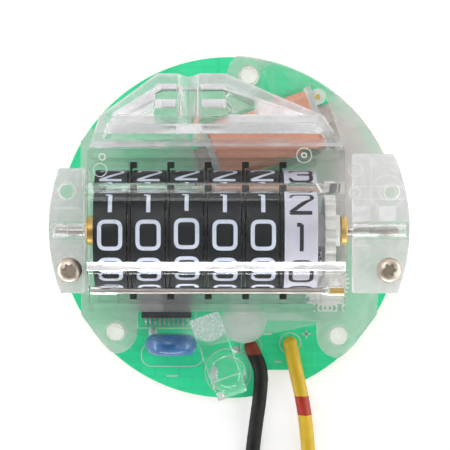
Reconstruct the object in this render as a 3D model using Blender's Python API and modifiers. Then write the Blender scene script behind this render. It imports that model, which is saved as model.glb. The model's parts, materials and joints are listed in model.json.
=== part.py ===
"""Hour meter movement: six number drums on a board, driven by a stepper motor through a worm.

The movement lies on the back of its circuit board, with the drums facing up. X runs along the
drum shaft, Y runs up the face and Z runs out of the face. The origin is on the board's back, under
the centre of the board's circle. All lengths are in metres.
"""

import math

import bmesh
import bpy
from mathutils import Matrix, Vector

MM = 0.001

# Clearances
SEAT_GAP = 0.3 * MM
RUN_GAP = 0.1 * MM
SIDE_GAP = 0.13 * MM
OVERRUN = 1.0 * MM
WELD = 0.001 * MM
FLAT_ANGLE = math.radians(0.2)

# Sides of round pieces
RIM_SIDES = 40
BODY_SIDES = 32
PIN_SIDES = 16
WIRE_SIDES = 12

# Circuit board
BOARD_THICK = 1.6 * MM
NOTCH_LEFT = 3.94 * MM
NOTCH_WIDTH = 6.48 * MM
NOTCH_DEPTH = 3.94 * MM
BOARD_HOLE_RADIUS = 1.5 * MM
LEG_HOLE_RADIUS = 0.45 * MM

# Three fixing lugs on one circle, by their angles
LUG_EDGE_REACH = 2.5 * MM
LUG_DEGREES = (82.6, 222.5, 315.3)
LUG_RADIUS = 3.05 * MM
LUG_BORE_RADIUS = 1.22 * MM

# Back plate
PLATE_THICK = 1.0 * MM
PLATE_STANDOFF = 2.2 * MM
PLATE_EDGE = 0.1 * MM
PLATE_SIDE_INSET = 3.2 * MM
PLATE_UPPER_REACH = 2.0 * MM
PLATE_LOWER_REACH = 1.4 * MM
PLATE_SHOULDER = 1.6 * MM
PLATE_LOWER_LIP = 0.5 * MM
PLATE_INNER_LIP = 2.04 * MM
MIDDLE_LOBE_X = 2.1 * MM
MIDDLE_LOBE_REACH = 2.2 * MM
LOBE_BUMP_RADIUS = 1.2 * MM
LOBE_BUMP_HEIGHT = 0.6 * MM

# Number shaft and its bearing blocks
SHAFT_Y = -0.4 * MM
DRUM_FLOOR_GAP = 1.08 * MM
SHAFT_RADIUS = 0.75 * MM
SHAFT_NECK_RADIUS = 0.55 * MM
SHAFT_LEFT_INSET = 0.7 * MM
SHAFT_RIGHT_INSET = 1.3 * MM
SHAFT_NECK_INSET = 0.6 * MM
SHAFT_NECK_LENGTH = 2.2 * MM
BLOCK_LEFT_DEPTH = 4.6 * MM
BLOCK_RIGHT_DEPTH = 6.6 * MM
CAP_RIGHT_GAP = 0.69 * MM
CAP_RIGHT_OVERHANG = 0.9 * MM
BLOCK_LEFT_RISE = 3.15 * MM
BLOCK_RIGHT_RISE = 5.05 * MM
BLOCK_DROP = 3.05 * MM
CAP_THICK = 3.4 * MM
DOWEL_EDGE_REACH = 2.4 * MM
DOWEL_Y = 4.75 * MM
DOWEL_RADIUS = 0.95 * MM
CAP_SCREW_EDGE_REACH = 2.8 * MM
CAP_SCREW_Y = -5.65 * MM
SCREW_SHANK_RADIUS = 0.75 * MM
SCREW_SHANK_LENGTH = 8.0 * MM
SCREW_HEAD_RADIUS = 1.68 * MM
SCREW_HEAD_HEIGHT = 1.15 * MM
BUSH_RADIUS = 1.93 * MM
BUSH_LENGTH = 1.2 * MM
BUSH_END_GAP = 0.25 * MM
WASHER_THICK = 0.85 * MM

# Number drums
DRUM_COUNT = 6
DRUM_WIDTH = 4.35 * MM
DRUM_WALL_OVER_TEETH = 1.176 * MM
DRUM_RIM_THICK = 1.05 * MM
DRUM_WEB_THICK = 0.6 * MM
DRUM_RECESS_DEPTH = 1.2 * MM
LOCK_RING_WIDTH = 0.55 * MM
LOCK_RING_INSET = 0.05 * MM
HUB_GAP = 0.36 * MM

# Transfer gearing, by its module
TRANSFER_MODULE = 0.62 * MM
RING_TEETH = 20
PINION_TEETH = 6
RING_ADDENDUM_SHARE = 0.78
RING_DEDENDUM_SHARE = 1.2
PINION_ADDENDUM_SHARE = 0.84
PINION_DEDENDUM_SHARE = 1.15
RING_GAP_INNER_SHARE = 0.74
RING_GAP_OUTER_SHARE = 0.56
PINION_ROOT_SHARE = 0.74
PINION_TIP_SHARE = 0.17
PINION_JOURNAL_RIM = 0.14 * MM
PINION_RIGHT_REACH = 0.9 * MM
CARRIER_INSET = 0.17 * MM
CARRIER_THICK = 0.4 * MM
CARRIER_HOLE_GAP = 0.25 * MM
CARRIER_LUG_RISE = 0.25 * MM
CARRIER_LUG_WIDTH = 0.94 * MM
CARRIER_LUG_DEPTH = 1.6 * MM
CARRIER_LUG_BITE = 0.55 * MM
LUG_INSET = 0.03 * MM

# Worm drive, by its module
WORM_MODULE = 0.5 * MM
DRIVE_TEETH = 25
DRIVE_GEAR_WIDTH = 1.4 * MM
DRIVE_HUB_RADIUS = 2.1 * MM
DRIVE_HUB_WIDTH = 2.95 * MM
DRIVE_ADDENDUM_SHARE = 0.8
DRIVE_DEDENDUM_SHARE = 1.4
DRIVE_ROOT_SHARE = 0.5
DRIVE_TIP_SHARE = 0.2
WORM_PITCH_RADIUS = 1.1 * MM
WORM_ADDENDUM_SHARE = 0.7
WORM_DEDENDUM_SHARE = 1.1
WORM_LENGTH = 4.7 * MM
WORM_TIP_SHARE = 0.19
WORM_BASE_SHARE = 0.5
WORM_STEPS_PER_TURN = 8
WORM_PIVOT_RADIUS = 0.35 * MM
WORM_PIVOT_LENGTH = 0.7 * MM

# Stepper motor and its wheel, by their module
TRAIN_MODULE = 0.2 * MM
WHEEL_TEETH = 32
ROTOR_TEETH = 8
TRAIN_ADDENDUM_SHARE = 0.85
TRAIN_DEDENDUM_SHARE = 1.25
WHEEL_ROOT_SHARE = 0.6
WHEEL_TIP_SHARE = 0.26
ROTOR_ROOT_SHARE = 0.58
ROTOR_TIP_SHARE = 0.16
WHEEL_THICK = 0.5 * MM
WHEEL_LIFT = 0.3 * MM
MAGNET_RADIUS = 1.6 * MM
MAGNET_THICK = 1.0 * MM
ROTOR_HUB_RADIUS = 0.6 * MM
ROTOR_PIN_RADIUS = 0.25 * MM
ROTOR_PINION_HEIGHT = 0.9 * MM
STATOR_THICK = 0.8 * MM
STATOR_LIFT = 0.4 * MM
STATOR_ARM_WIDTH = 2.0 * MM
STATOR_ARM_END = 1.5 * MM
STATOR_EYE_WALL = 1.3 * MM
STATOR_EDGE_REACH = 4.0 * MM
STATOR_WING_CUT = 2.4 * MM
STATOR_WING_RISE = 4.1 * MM
AIR_GAP = 0.4 * MM

# Motor coil, tilted in the plane of the board
COIL_X = 4.96 * MM
COIL_RISE = 2.46 * MM
COIL_DEGREES = 20.0
COIL_LENGTH = 16.4 * MM
COIL_WIDTH = 9.0 * MM
COIL_HEIGHT = 6.2 * MM
COIL_FLANGE_THICK = 0.8 * MM
COIL_ROUND = 1.1 * MM
WINDING_INSET = 0.35 * MM
BOBBIN_TUBE_WIDTH = 3.6 * MM
BOBBIN_TUBE_HEIGHT = 2.2 * MM
CORE_WIDTH = 2.4 * MM
CORE_THICK = 0.8 * MM
CORE_REACH = 1.4 * MM
BOBBIN_PIN_RADIUS = 0.3 * MM
BOBBIN_TAB_RADIUS = 1.1 * MM
BOBBIN_TAB_THICK = 1.0 * MM
BOBBIN_TAB_REACH = 0.5 * MM
BOBBIN_TAB_ACROSS = 2.68 * MM
BOBBIN_PIN_RISE = 0.8 * MM

# Front cover, a clear channel over the drums
COVER_END_REACH = 0.58 * MM
COVER_CLEARANCE = 1.38 * MM
COVER_WALL = 1.0 * MM
PANEL_GAP = 0.4 * MM
PANEL_THICK = 1.1 * MM
WINDOW_TOP_MARGIN = 4.21 * MM
WINDOW_BOTTOM_MARGIN = 5.33 * MM
WINDOW_RISE = 1.0 * MM
WINDOW_CHAMFER = 0.15 * MM
WINDOW_LIP = 0.5 * MM
WINDOW_SLOPE_DEGREES = 34
WINDOW_BEND_RADIUS = 3.0 * MM
WINDOW_BEND_STEPS = 4
COMB_REACH = 0.95 * MM
COMB_HEIGHT = 2.4 * MM
COMB_SLOT_GAP = 0.2 * MM
ROD_INSET = 1.6 * MM
ROD_RISE = 1.1 * MM
ROD_RADIUS = 0.42 * MM
ROD_PLUG_RADIUS = 0.62 * MM
ROD_PLUG_LENGTH = 1.8 * MM
WORM_HEAD_ROOM = 2.05 * MM
ROD_COVER_WALL = 0.7 * MM
ROD_BLOCK_WIDTH = 3.8 * MM
PIVOT_LEFT_REACH = 1.355 * MM
PIVOT_RIGHT_REACH = 1.645 * MM
PIVOT_INNER_REACH = 0.85 * MM
APRON_LIFT = 3.0 * MM
APRON_THICK = 1.0 * MM
APRON_SIDE_DROP = 1.3 * MM
APRON_DROP = 5.2 * MM
APRON_POINT_SHARE = 0.392

# Light hood above the drums, by shares of its width and height
HOOD_LEFT_OVERHANG = 0.04 * MM
HOOD_RIGHT_OVERHANG = 0.13 * MM
HOOD_GAP = 0.3 * MM
HOOD_HEIGHT = 9.9 * MM
HOOD_SETBACK = 2.52 * MM
HOOD_WALL = 1.3 * MM
HOOD_FOOT_WALL = 1.0 * MM
HOOD_RIB_SHARE = 0.436
HOOD_WELL_DEPTH = 9.0 * MM
HOOD_WELL_WALL = 1.1 * MM
HOOD_WELL_X_SHARES = (0.255, 0.55)
HOOD_WELL_Y_SHARES = (0.46, 0.81)
HOOD_TROUGH_SHARE = 0.39
HOOD_TROUGH_RADIUS = 1.35 * MM
HOOD_TROUGH_WALL = 0.35 * MM
HOOD_OUTLINE_SHARES = (
    (0.0, 0.0),
    (1.0, 0.0),
    (0.921, 0.436),
    (0.534, 1.0),
    (0.435, 1.0),
    (0.390, 0.96),
    (0.345, 1.0),
    (0.267, 1.0),
    (0.039, 0.436),
)
COIL_CLEARANCE = 0.4 * MM
COIL_SPACE_CORNER = 1.45 * MM

# Light pipe between the lamp and the cover
PIPE_X = -3.45 * MM
PIPE_REACH = 1.05 * MM
PIPE_DEGREES = 19.9
PIPE_WIDTH = 4.1 * MM
PIPE_LENGTH = 11.6 * MM
PIPE_THICK = 1.2 * MM
PIPE_LEG_LENGTH = 3.7 * MM
PIPE_LEG_THICK = 2.6 * MM
PIPE_MIRROR = 1.2 * MM

# Parts on the board
CHIP_FROM_LUG = 7.1 * MM
CHIP_Y = -10.1 * MM
CHIP_LENGTH = 7.2 * MM
CHIP_WIDTH = 5.3 * MM
CHIP_THICK = 1.4 * MM
CHIP_STANDOFF = 0.1 * MM
CHIP_PINS = 10
CHIP_PIN_PITCH = 0.65 * MM
CHIP_PIN_WIDTH = 0.26 * MM
CHIP_PIN_THICK = 0.16 * MM
CHIP_PIN_REACH = 1.1 * MM
CHIP_PIN_FOOT = 0.5 * MM
CHIP_BEVEL = 0.2 * MM
CRYSTAL_X = -13.5 * MM
CRYSTAL_Y = 2.0 * MM
CRYSTAL_RADIUS = 0.8 * MM
CRYSTAL_LENGTH = 6.0 * MM
CRYSTAL_LEG_RADIUS = 0.18 * MM
CRYSTAL_LEG_LENGTH = 1.2 * MM
CRYSTAL_LEG_SPACING = 0.7 * MM
DISC_FROM_LUG = 7.85 * MM
DISC_Y = -16.2 * MM
DISC_RADIUS = 3.6 * MM
DISC_THICK = 3.2 * MM
DISC_LIFT = 0.9 * MM
DISC_BEVEL = 1.1 * MM
DISC_LEG_SPACING = 5.0 * MM
LEG_RADIUS = 0.3 * MM
LEG_END = 0.2 * MM
LAMP_X = -0.14 * MM
LAMP_EDGE_REACH = 3.7 * MM
LAMP_RADIUS = 2.45 * MM
LAMP_FLANGE_RADIUS = 2.85 * MM
LAMP_FLANGE_THICK = 0.9 * MM
LAMP_HEIGHT = 6.1 * MM
LAMP_LEG_SPACING = 2.54 * MM

# Leads. A route's points are chosen by hand, and a smooth curve runs through them.
LEAD_RADIUS = 1.0 * MM
LEAD_BARE_RADIUS = 0.45 * MM
LEAD_BARE_LENGTH = 5.0 * MM
LEAD_STEPS = 2
ROUTE_UNIT = 1.0 * MM
BLACK_ROUTE = (
    (3.1, -16.8, 3.0), (4.4, -20.0, 3.2), (4.3, -23.6, 3.25), (3.85, -27.2, 2.1),
    (3.4, -31.0, 1.03), (2.8, -37.0, 1.02), (1.0, -44.0, 1.02), (-3.4, -50.6, 1.02),
    (-10.0, -54.6, 1.02), (-17.6, -54.8, 1.02), (-23.8, -50.8, 1.02), (-26.6, -44.2, 1.02),
    (-25.4, -37.4, 1.02),
)
YELLOW_ROUTE = (
    (8.6, -16.3, 3.0), (9.35, -20.0, 3.2), (10.15, -23.6, 3.25), (10.75, -27.2, 2.1),
    (11.15, -31.0, 1.03), (11.7, -37.0, 1.02), (13.2, -44.0, 1.02), (17.0, -50.4, 1.02),
    (23.2, -54.6, 1.02), (30.6, -55.2, 1.02), (37.0, -51.8, 1.02), (40.4, -45.6, 1.02),
    (40.0, -38.6, 1.02),
)

# Sizes that follow from the ones above
PLATE_BOTTOM = BOARD_THICK + PLATE_STANDOFF
PLATE_TOP = PLATE_BOTTOM + PLATE_THICK
BORE_RADIUS = SHAFT_RADIUS + RUN_GAP
RING_PITCH_RADIUS = TRANSFER_MODULE * RING_TEETH / 2
RING_ROOT_RADIUS = RING_PITCH_RADIUS + TRANSFER_MODULE * RING_DEDENDUM_SHARE
RING_TIP_RADIUS = RING_PITCH_RADIUS - TRANSFER_MODULE * RING_ADDENDUM_SHARE
LOCK_RING_RADIUS = RING_PITCH_RADIUS - LOCK_RING_INSET
PINION_PITCH_RADIUS = TRANSFER_MODULE * PINION_TEETH / 2
PINION_TIP_RADIUS = PINION_PITCH_RADIUS + TRANSFER_MODULE * PINION_ADDENDUM_SHARE
PINION_CENTRE = RING_PITCH_RADIUS - PINION_PITCH_RADIUS
PINION_JOURNAL_RADIUS = PINION_TIP_RADIUS + PINION_JOURNAL_RIM
HUB_RADIUS = PINION_CENTRE - PINION_TIP_RADIUS - HUB_GAP
DRUM_RADIUS = RING_ROOT_RADIUS + DRUM_WALL_OVER_TEETH
DRUM_BORE_RADIUS = DRUM_RADIUS - DRUM_RIM_THICK
WEB_LEFT = DRUM_RECESS_DEPTH + LOCK_RING_WIDTH
WEB_RIGHT = WEB_LEFT + DRUM_WEB_THICK
CARRIER_GAP = CARRIER_THICK + 2 * SIDE_GAP
CARRIER_SIDE = SIDE_GAP
CARRIER_RADIUS = DRUM_RADIUS - CARRIER_INSET
CARRIER_HOLE_RADIUS = SHAFT_RADIUS + CARRIER_HOLE_GAP
DRUM_PITCH = DRUM_WIDTH + CARRIER_GAP

# The drums, their collars and their running gaps set how wide the movement is
DRUMS_LENGTH = (DRUM_COUNT - 1) * DRUM_PITCH + DRUM_WIDTH
BEFORE_DRUMS = BUSH_END_GAP + BUSH_LENGTH + SIDE_GAP
AFTER_DRUMS = SEAT_GAP + DRIVE_HUB_WIDTH + SIDE_GAP + WASHER_THICK + CAP_RIGHT_GAP + CAP_RIGHT_OVERHANG
STACK_LENGTH = BEFORE_DRUMS + DRUMS_LENGTH + AFTER_DRUMS
BOARD_RADIUS = (BLOCK_LEFT_DEPTH + STACK_LENGTH + BLOCK_RIGHT_DEPTH) / 2
BLOCK_LEFT_FACE = BLOCK_LEFT_DEPTH - BOARD_RADIUS
BLOCK_RIGHT_FACE = BOARD_RADIUS - BLOCK_RIGHT_DEPTH
CAP_RIGHT_FACE = BLOCK_RIGHT_FACE - CAP_RIGHT_OVERHANG
DRUM_START = BLOCK_LEFT_FACE + BEFORE_DRUMS
DRUMS_END = DRUM_START + DRUMS_LENGTH
DRIVE_HUB_START = DRUMS_END + SEAT_GAP
WASHER_START = DRIVE_HUB_START + DRIVE_HUB_WIDTH + SIDE_GAP
SHAFT_Z = PLATE_TOP + DRUM_FLOOR_GAP + DRUM_RADIUS
SHAFT_LEFT_END = SHAFT_LEFT_INSET - BOARD_RADIUS
SHAFT_RIGHT_END = BOARD_RADIUS - SHAFT_RIGHT_INSET
SHAFT_NECK_START = BLOCK_RIGHT_FACE - SHAFT_NECK_INSET
DOWEL_X = BOARD_RADIUS - DOWEL_EDGE_REACH
CAP_SCREW_X = BOARD_RADIUS - CAP_SCREW_EDGE_REACH
BLOCK_LEFT_TOP = DOWEL_Y + BLOCK_LEFT_RISE
BLOCK_RIGHT_TOP = DOWEL_Y + BLOCK_RIGHT_RISE
BLOCK_BOTTOM = CAP_SCREW_Y - BLOCK_DROP
BLOCK_TOP = SHAFT_Z - SIDE_GAP
CAP_BOTTOM = SHAFT_Z + SIDE_GAP
CAP_TOP = CAP_BOTTOM + CAP_THICK
LUG_CIRCLE_RADIUS = BOARD_RADIUS - LUG_EDGE_REACH
LEFT_LUG_X = LUG_CIRCLE_RADIUS * math.cos(math.radians(LUG_DEGREES[1]))

# Worm drive and motor
DRIVE_PITCH_RADIUS = WORM_MODULE * DRIVE_TEETH / 2
WORM_TIP_RADIUS = WORM_PITCH_RADIUS + WORM_MODULE * WORM_ADDENDUM_SHARE
WORM_ROOT_RADIUS = WORM_PITCH_RADIUS - WORM_MODULE * WORM_DEDENDUM_SHARE
WORM_X = DRIVE_HUB_START + DRIVE_HUB_WIDTH / 2
WORM_Y = SHAFT_Y - DRIVE_PITCH_RADIUS - WORM_PITCH_RADIUS
ROTOR_X = WORM_X
ROTOR_Y = WORM_Y + TRAIN_MODULE * (WHEEL_TEETH + ROTOR_TEETH) / 2
WHEEL_Z = PLATE_TOP + WHEEL_LIFT
MAGNET_Z = BOARD_THICK + SEAT_GAP
STATOR_Z = BOARD_THICK + STATOR_LIFT
STATOR_EYE_RADIUS = MAGNET_RADIUS + AIR_GAP + STATOR_EYE_WALL

# Cover over the drums
COVER_HALF = DRUM_RADIUS + COVER_CLEARANCE
COVER_LEFT = DRUM_START - COVER_END_REACH
COVER_RIGHT = WORM_X + PIVOT_RIGHT_REACH
COVER_INNER_TOP = SHAFT_Y + COVER_HALF
COVER_INNER_BOTTOM = SHAFT_Y - COVER_HALF
COVER_OUTER_TOP = COVER_INNER_TOP + COVER_WALL
COVER_OUTER_BOTTOM = COVER_INNER_BOTTOM - COVER_WALL
COVER_FOOT = PLATE_TOP + SEAT_GAP
CARRIER_LUG_TOP = COVER_HALF - SEAT_GAP
CARRIER_LUG_ROOT = CARRIER_RADIUS - CARRIER_LUG_BITE
PANEL_BACK = SHAFT_Z + DRUM_RADIUS + PANEL_GAP
PANEL_FRONT = PANEL_BACK + PANEL_THICK
WINDOW_FRONT = PANEL_FRONT + WINDOW_RISE
WINDOW_TOP = COVER_OUTER_TOP - WINDOW_TOP_MARGIN
WINDOW_BOTTOM = COVER_OUTER_BOTTOM + WINDOW_BOTTOM_MARGIN
ROD_Y = COVER_INNER_BOTTOM + ROD_INSET
ROD_BLOCK_INNER = ROD_Y + ROD_COVER_WALL
ROD_BLOCK_BOTTOM = SHAFT_Z + WORM_LENGTH / 2 + WORM_HEAD_ROOM
ROD_Z = ROD_BLOCK_BOTTOM + ROD_RISE
PIVOT_BLOCK_LEFT = WORM_X - PIVOT_LEFT_REACH
PIVOT_BLOCK_INNER = WORM_Y + PIVOT_INNER_REACH
APRON_Z = SHAFT_Z + APRON_LIFT
APRON_POINT_X = COVER_LEFT + (COVER_RIGHT - COVER_LEFT) * APRON_POINT_SHARE

# What lies round the cover
PLATE_RIGHT = BOARD_RADIUS - PLATE_SIDE_INSET
PLATE_LEFT = -PLATE_RIGHT
PLATE_UPPER_CORNER = COVER_OUTER_TOP + PLATE_UPPER_REACH
PLATE_LOWER_CORNER = COVER_OUTER_BOTTOM - PLATE_LOWER_REACH
PLATE_LOWER_EDGE = COVER_OUTER_BOTTOM - PLATE_LOWER_LIP
PLATE_INNER_LOWER_EDGE = COVER_OUTER_BOTTOM - PLATE_INNER_LIP
MIDDLE_LOBE_Y = COVER_OUTER_BOTTOM - MIDDLE_LOBE_REACH
COIL_Y = COVER_OUTER_TOP + COIL_RISE
COIL_Z = BOARD_THICK + SEAT_GAP + COIL_HEIGHT / 2
HOOD_LEFT = COVER_LEFT - HOOD_LEFT_OVERHANG
HOOD_WIDTH = COVER_RIGHT + HOOD_RIGHT_OVERHANG - HOOD_LEFT
HOOD_BOTTOM = COVER_OUTER_TOP + HOOD_GAP
HOOD_FRONT = PANEL_BACK - HOOD_SETBACK
LAMP_Y = LAMP_EDGE_REACH - BOARD_RADIUS
LAMP_TOP = BOARD_THICK + SEAT_GAP + LAMP_HEIGHT
PIPE_Y = COVER_OUTER_BOTTOM - PIPE_REACH
PIPE_LEG_BOTTOM = LAMP_TOP + SEAT_GAP
PIPE_Z = PIPE_LEG_BOTTOM + PIPE_LEG_LENGTH
CHIP_X = LEFT_LUG_X + CHIP_FROM_LUG
DISC_X = LEFT_LUG_X + DISC_FROM_LUG


def clear_scene():
    """Removes what the scene holds, so that the file can be run again."""
    for old in list(bpy.data.objects):
        bpy.data.objects.remove(old)
    for old in list(bpy.data.collections):
        bpy.data.collections.remove(old)


def make_collection(name):
    collection = bpy.data.collections.new(name)
    bpy.context.scene.collection.children.link(collection)
    return collection


def material(name, colour, roughness, metallic=0.0, clear=0.0):
    """A Principled material, by its colour, roughness and how far it lets light through."""
    made = bpy.data.materials.new(name)
    made.use_nodes = True
    shader = made.node_tree.nodes["Principled BSDF"]
    shader.inputs["Base Color"].default_value = (*colour, 1)
    shader.inputs["Roughness"].default_value = roughness
    shader.inputs["Metallic"].default_value = metallic
    shader.inputs["Transmission Weight"].default_value = clear
    made.diffuse_color = (*colour, 1)
    return made


def place(name, mesh, look, collection):
    """One object for a mesh, in its collection and with its material."""
    if look:
        mesh.materials.append(look)
    made = bpy.data.objects.new(name, mesh)
    collection.objects.link(made)
    if collection is CUTTERS:
        made.hide_render = True
        made.display_type = "WIRE"
    return made


def circle(x, y, radius, sides, start=0.0):
    """Points evenly round a circle."""
    angles = [start + math.tau * i / sides for i in range(sides)]
    return [(x + radius * math.cos(a), y + radius * math.sin(a)) for a in angles]


def arc(x, y, radius, start, end, steps):
    """Points along an arc, with its angles in degrees."""
    angles = [math.radians(start + (end - start) * i / steps) for i in range(steps + 1)]
    return [(x + radius * math.cos(a), y + radius * math.sin(a)) for a in angles]


def rectangle(left, bottom, right, top):
    return [(left, bottom), (right, bottom), (right, top), (left, top)]


def rounded_rectangle(width, height, radius, steps=4):
    """A rectangle about the origin, with round corners."""
    x = width / 2 - radius
    y = height / 2 - radius
    return (
        arc(x, y, radius, 0, 90, steps)
        + arc(-x, y, radius, 90, 180, steps)
        + arc(-x, -y, radius, 180, 270, steps)
        + arc(x, -y, radius, 270, 360, steps)
    )


def outline_mesh(name, loops, depth):
    """A flat outline, with or without holes, given its depth about its middle."""
    if len(loops) == 1:
        return slab_mesh(name, loops[0], depth)
    curve = bpy.data.curves.new(name, "CURVE")
    curve.dimensions = "2D"
    curve.fill_mode = "BOTH"
    curve.extrude = depth / 2
    for loop in loops:
        spline = curve.splines.new("POLY")
        spline.points.add(len(loop) - 1)
        for point, (x, y) in zip(spline.points, loop):
            point.co = (x, y, 0, 1)
        spline.use_cyclic_u = True
    return curve_mesh(name, curve)


def slab_mesh(name, loop, depth):
    """A slab from one closed outline: a single face, extruded through its depth."""
    shape = bmesh.new()
    corners = [shape.verts.new((x, y, -depth / 2)) for x, y in loop]
    face = shape.faces.new(corners)
    moved = bmesh.ops.extrude_face_region(shape, geom=[face], use_keep_orig=True)["geom"]
    top = [item for item in moved if isinstance(item, bmesh.types.BMVert)]
    bmesh.ops.translate(shape, verts=top, vec=(0, 0, depth))
    bmesh.ops.recalc_face_normals(shape, faces=shape.faces)
    mesh = bpy.data.meshes.new(name)
    shape.to_mesh(mesh)
    shape.free()
    return mesh


def curve_mesh(name, curve):
    """A curve's solid as a mesh, with its caps welded and made of few large faces."""
    holder = bpy.data.objects.new(name, curve)
    CUTTERS.objects.link(holder)
    graph = bpy.context.evaluated_depsgraph_get()
    mesh = bpy.data.meshes.new_from_object(holder.evaluated_get(graph))
    bpy.data.objects.remove(holder)
    shape = bmesh.new()
    shape.from_mesh(mesh)
    bmesh.ops.remove_doubles(shape, verts=shape.verts, dist=WELD)
    bmesh.ops.dissolve_limit(shape, angle_limit=FLAT_ANGLE, verts=shape.verts, edges=shape.edges)
    bmesh.ops.recalc_face_normals(shape, faces=shape.faces)
    shape.to_mesh(mesh)
    shape.free()
    mesh.materials.clear()
    return mesh


def plate(name, loops, low, high, look=None, collection=None, x=0, y=0):
    """A solid from an outline in X and Y, from one height to another."""
    mesh = outline_mesh(name, loops, high - low)
    made = place(name, mesh, look, collection or CUTTERS)
    made.location = (x, y, (low + high) / 2)
    return made


SHAFT_TURN = Matrix(((0, 0, 1), (1, 0, 0), (0, 1, 0))).to_4x4()


def disc(name, loops, left, right, look=None, collection=None, y=SHAFT_Y, z=SHAFT_Z):
    """A solid from an outline in Y and Z about an axis along X, from one X to another."""
    mesh = outline_mesh(name, loops, right - left)
    made = place(name, mesh, look, collection or CUTTERS)
    made.matrix_world = Matrix.Translation(((left + right) / 2, y, z)) @ SHAFT_TURN
    return made


def turned(name, profile, look, centre, along="Z", sides=PIN_SIDES, collection=None):
    """A turned solid. The profile's points are radius and height, from top to bottom."""
    mesh = bpy.data.meshes.new(name)
    points = [(radius, 0, height) for radius, height in profile]
    mesh.from_pydata(points, [(i, i + 1) for i in range(len(points) - 1)], [])
    made = place(name, mesh, look, collection or PARTS)
    screw = made.modifiers.new("turn", "SCREW")
    screw.steps = sides
    screw.render_steps = sides
    screw.use_merge_vertices = True
    screw.merge_threshold = WELD
    screw.use_normal_calculate = False
    made.location = centre
    if along == "X":
        made.rotation_euler = (0, math.pi / 2, 0)
    elif along == "Y":
        made.rotation_euler = (-math.pi / 2, 0, 0)
    return made


def boolean(target, tool, operation):
    """Cuts the tool out of the target, or joins the two."""
    step = target.modifiers.new(tool.name, "BOOLEAN")
    step.operation = operation
    step.solver = "EXACT"
    step.object = tool
    return target


def cut(target, *tools):
    for tool in tools:
        boolean(target, tool, "DIFFERENCE")
    return target


def join(target, *tools):
    for tool in tools:
        boolean(target, tool, "UNION")
    return target


def round_hole(target, x, y, radius, low, high, sides=PIN_SIDES):
    """A hole along Z through a piece."""
    name = f"{target.name} hole {len(target.modifiers)}"
    return cut(target, plate(name, [circle(x, y, radius, sides)], low, high))


def gear_outline(teeth, root, tip, root_half, tip_half, phase=0.0):
    """A gear's outline. The half widths are angles at the root and the tip of a tooth."""
    points = []
    for i in range(teeth):
        middle = phase + math.tau * i / teeth
        for radius, angle in (
            (root, -root_half), (tip, -tip_half), (tip, tip_half), (root, root_half),
        ):
            points.append((radius * math.cos(middle + angle), radius * math.sin(middle + angle)))
    return points


def lug_centres():
    """The centres of the three fixing lugs."""
    for degrees in LUG_DEGREES:
        angle = math.radians(degrees)
        yield LUG_CIRCLE_RADIUS * math.cos(angle), LUG_CIRCLE_RADIUS * math.sin(angle)


def within_board(points):
    """Points drawn in to stay on the board's circle."""
    limit = BOARD_RADIUS - PLATE_EDGE
    kept = []
    for x, y in points:
        reach = math.hypot(x, y)
        share = min(1.0, limit / reach) if reach else 1.0
        kept.append((x * share, y * share))
    return kept


def leg_places():
    """Where legs and pins pass through the board."""
    yield DISC_X - DISC_LEG_SPACING / 2, DISC_Y
    yield DISC_X + DISC_LEG_SPACING / 2, DISC_Y
    yield LAMP_X - LAMP_LEG_SPACING / 2, LAMP_Y
    yield LAMP_X + LAMP_LEG_SPACING / 2, LAMP_Y
    yield ROTOR_X, ROTOR_Y
    yield from bobbin_pin_places()
    for route in (BLACK_ROUTE, YELLOW_ROUTE):
        yield route[0][0] * ROUTE_UNIT, route[0][1] * ROUTE_UNIT


def coil_point(along, across):
    """A place in the coil's own plane, turned to its tilt on the board."""
    angle = math.radians(COIL_DEGREES)
    return (
        COIL_X + along * math.cos(angle) - across * math.sin(angle),
        COIL_Y + along * math.sin(angle) + across * math.cos(angle),
    )


def bobbin_pin_places():
    """The two solder pins stand just past the flanges."""
    reach = COIL_LENGTH / 2 + BOBBIN_TAB_REACH
    yield coil_point(reach, BOBBIN_TAB_ACROSS)
    yield coil_point(-reach, BOBBIN_TAB_ACROSS)


def make_board():
    """The round board, with its notch for the leads and its holes."""
    start = math.degrees(math.asin((NOTCH_LEFT + NOTCH_WIDTH) / BOARD_RADIUS)) - 90
    end = math.degrees(math.asin(NOTCH_LEFT / BOARD_RADIUS)) - 90
    rim = circle(0, 0, BOARD_RADIUS, BODY_SIDES * 2)
    kept = [p for p in rim if p[1] > 0 or not NOTCH_LEFT < p[0] < NOTCH_LEFT + NOTCH_WIDTH]
    right_foot = arc(0, 0, BOARD_RADIUS, start, start, 1)[0]
    left_foot = arc(0, 0, BOARD_RADIUS, end, end, 1)[0]
    notch_top = -BOARD_RADIUS + NOTCH_DEPTH
    notch = [
        left_foot,
        (NOTCH_LEFT, notch_top),
        (NOTCH_LEFT + NOTCH_WIDTH, notch_top),
        right_foot,
    ]
    first = next(i for i, p in enumerate(kept) if p[1] < 0 and p[0] > NOTCH_LEFT)
    outline = kept[:first] + notch + kept[first:]
    holes = [circle(x, y, BOARD_HOLE_RADIUS, PIN_SIDES) for x, y in lug_centres()]
    holes += [circle(x, y, LEG_HOLE_RADIUS, WIRE_SIDES) for x, y in leg_places()]
    plate("circuit_board", [outline, *holes], 0, BOARD_THICK, GREEN, PARTS)


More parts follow.
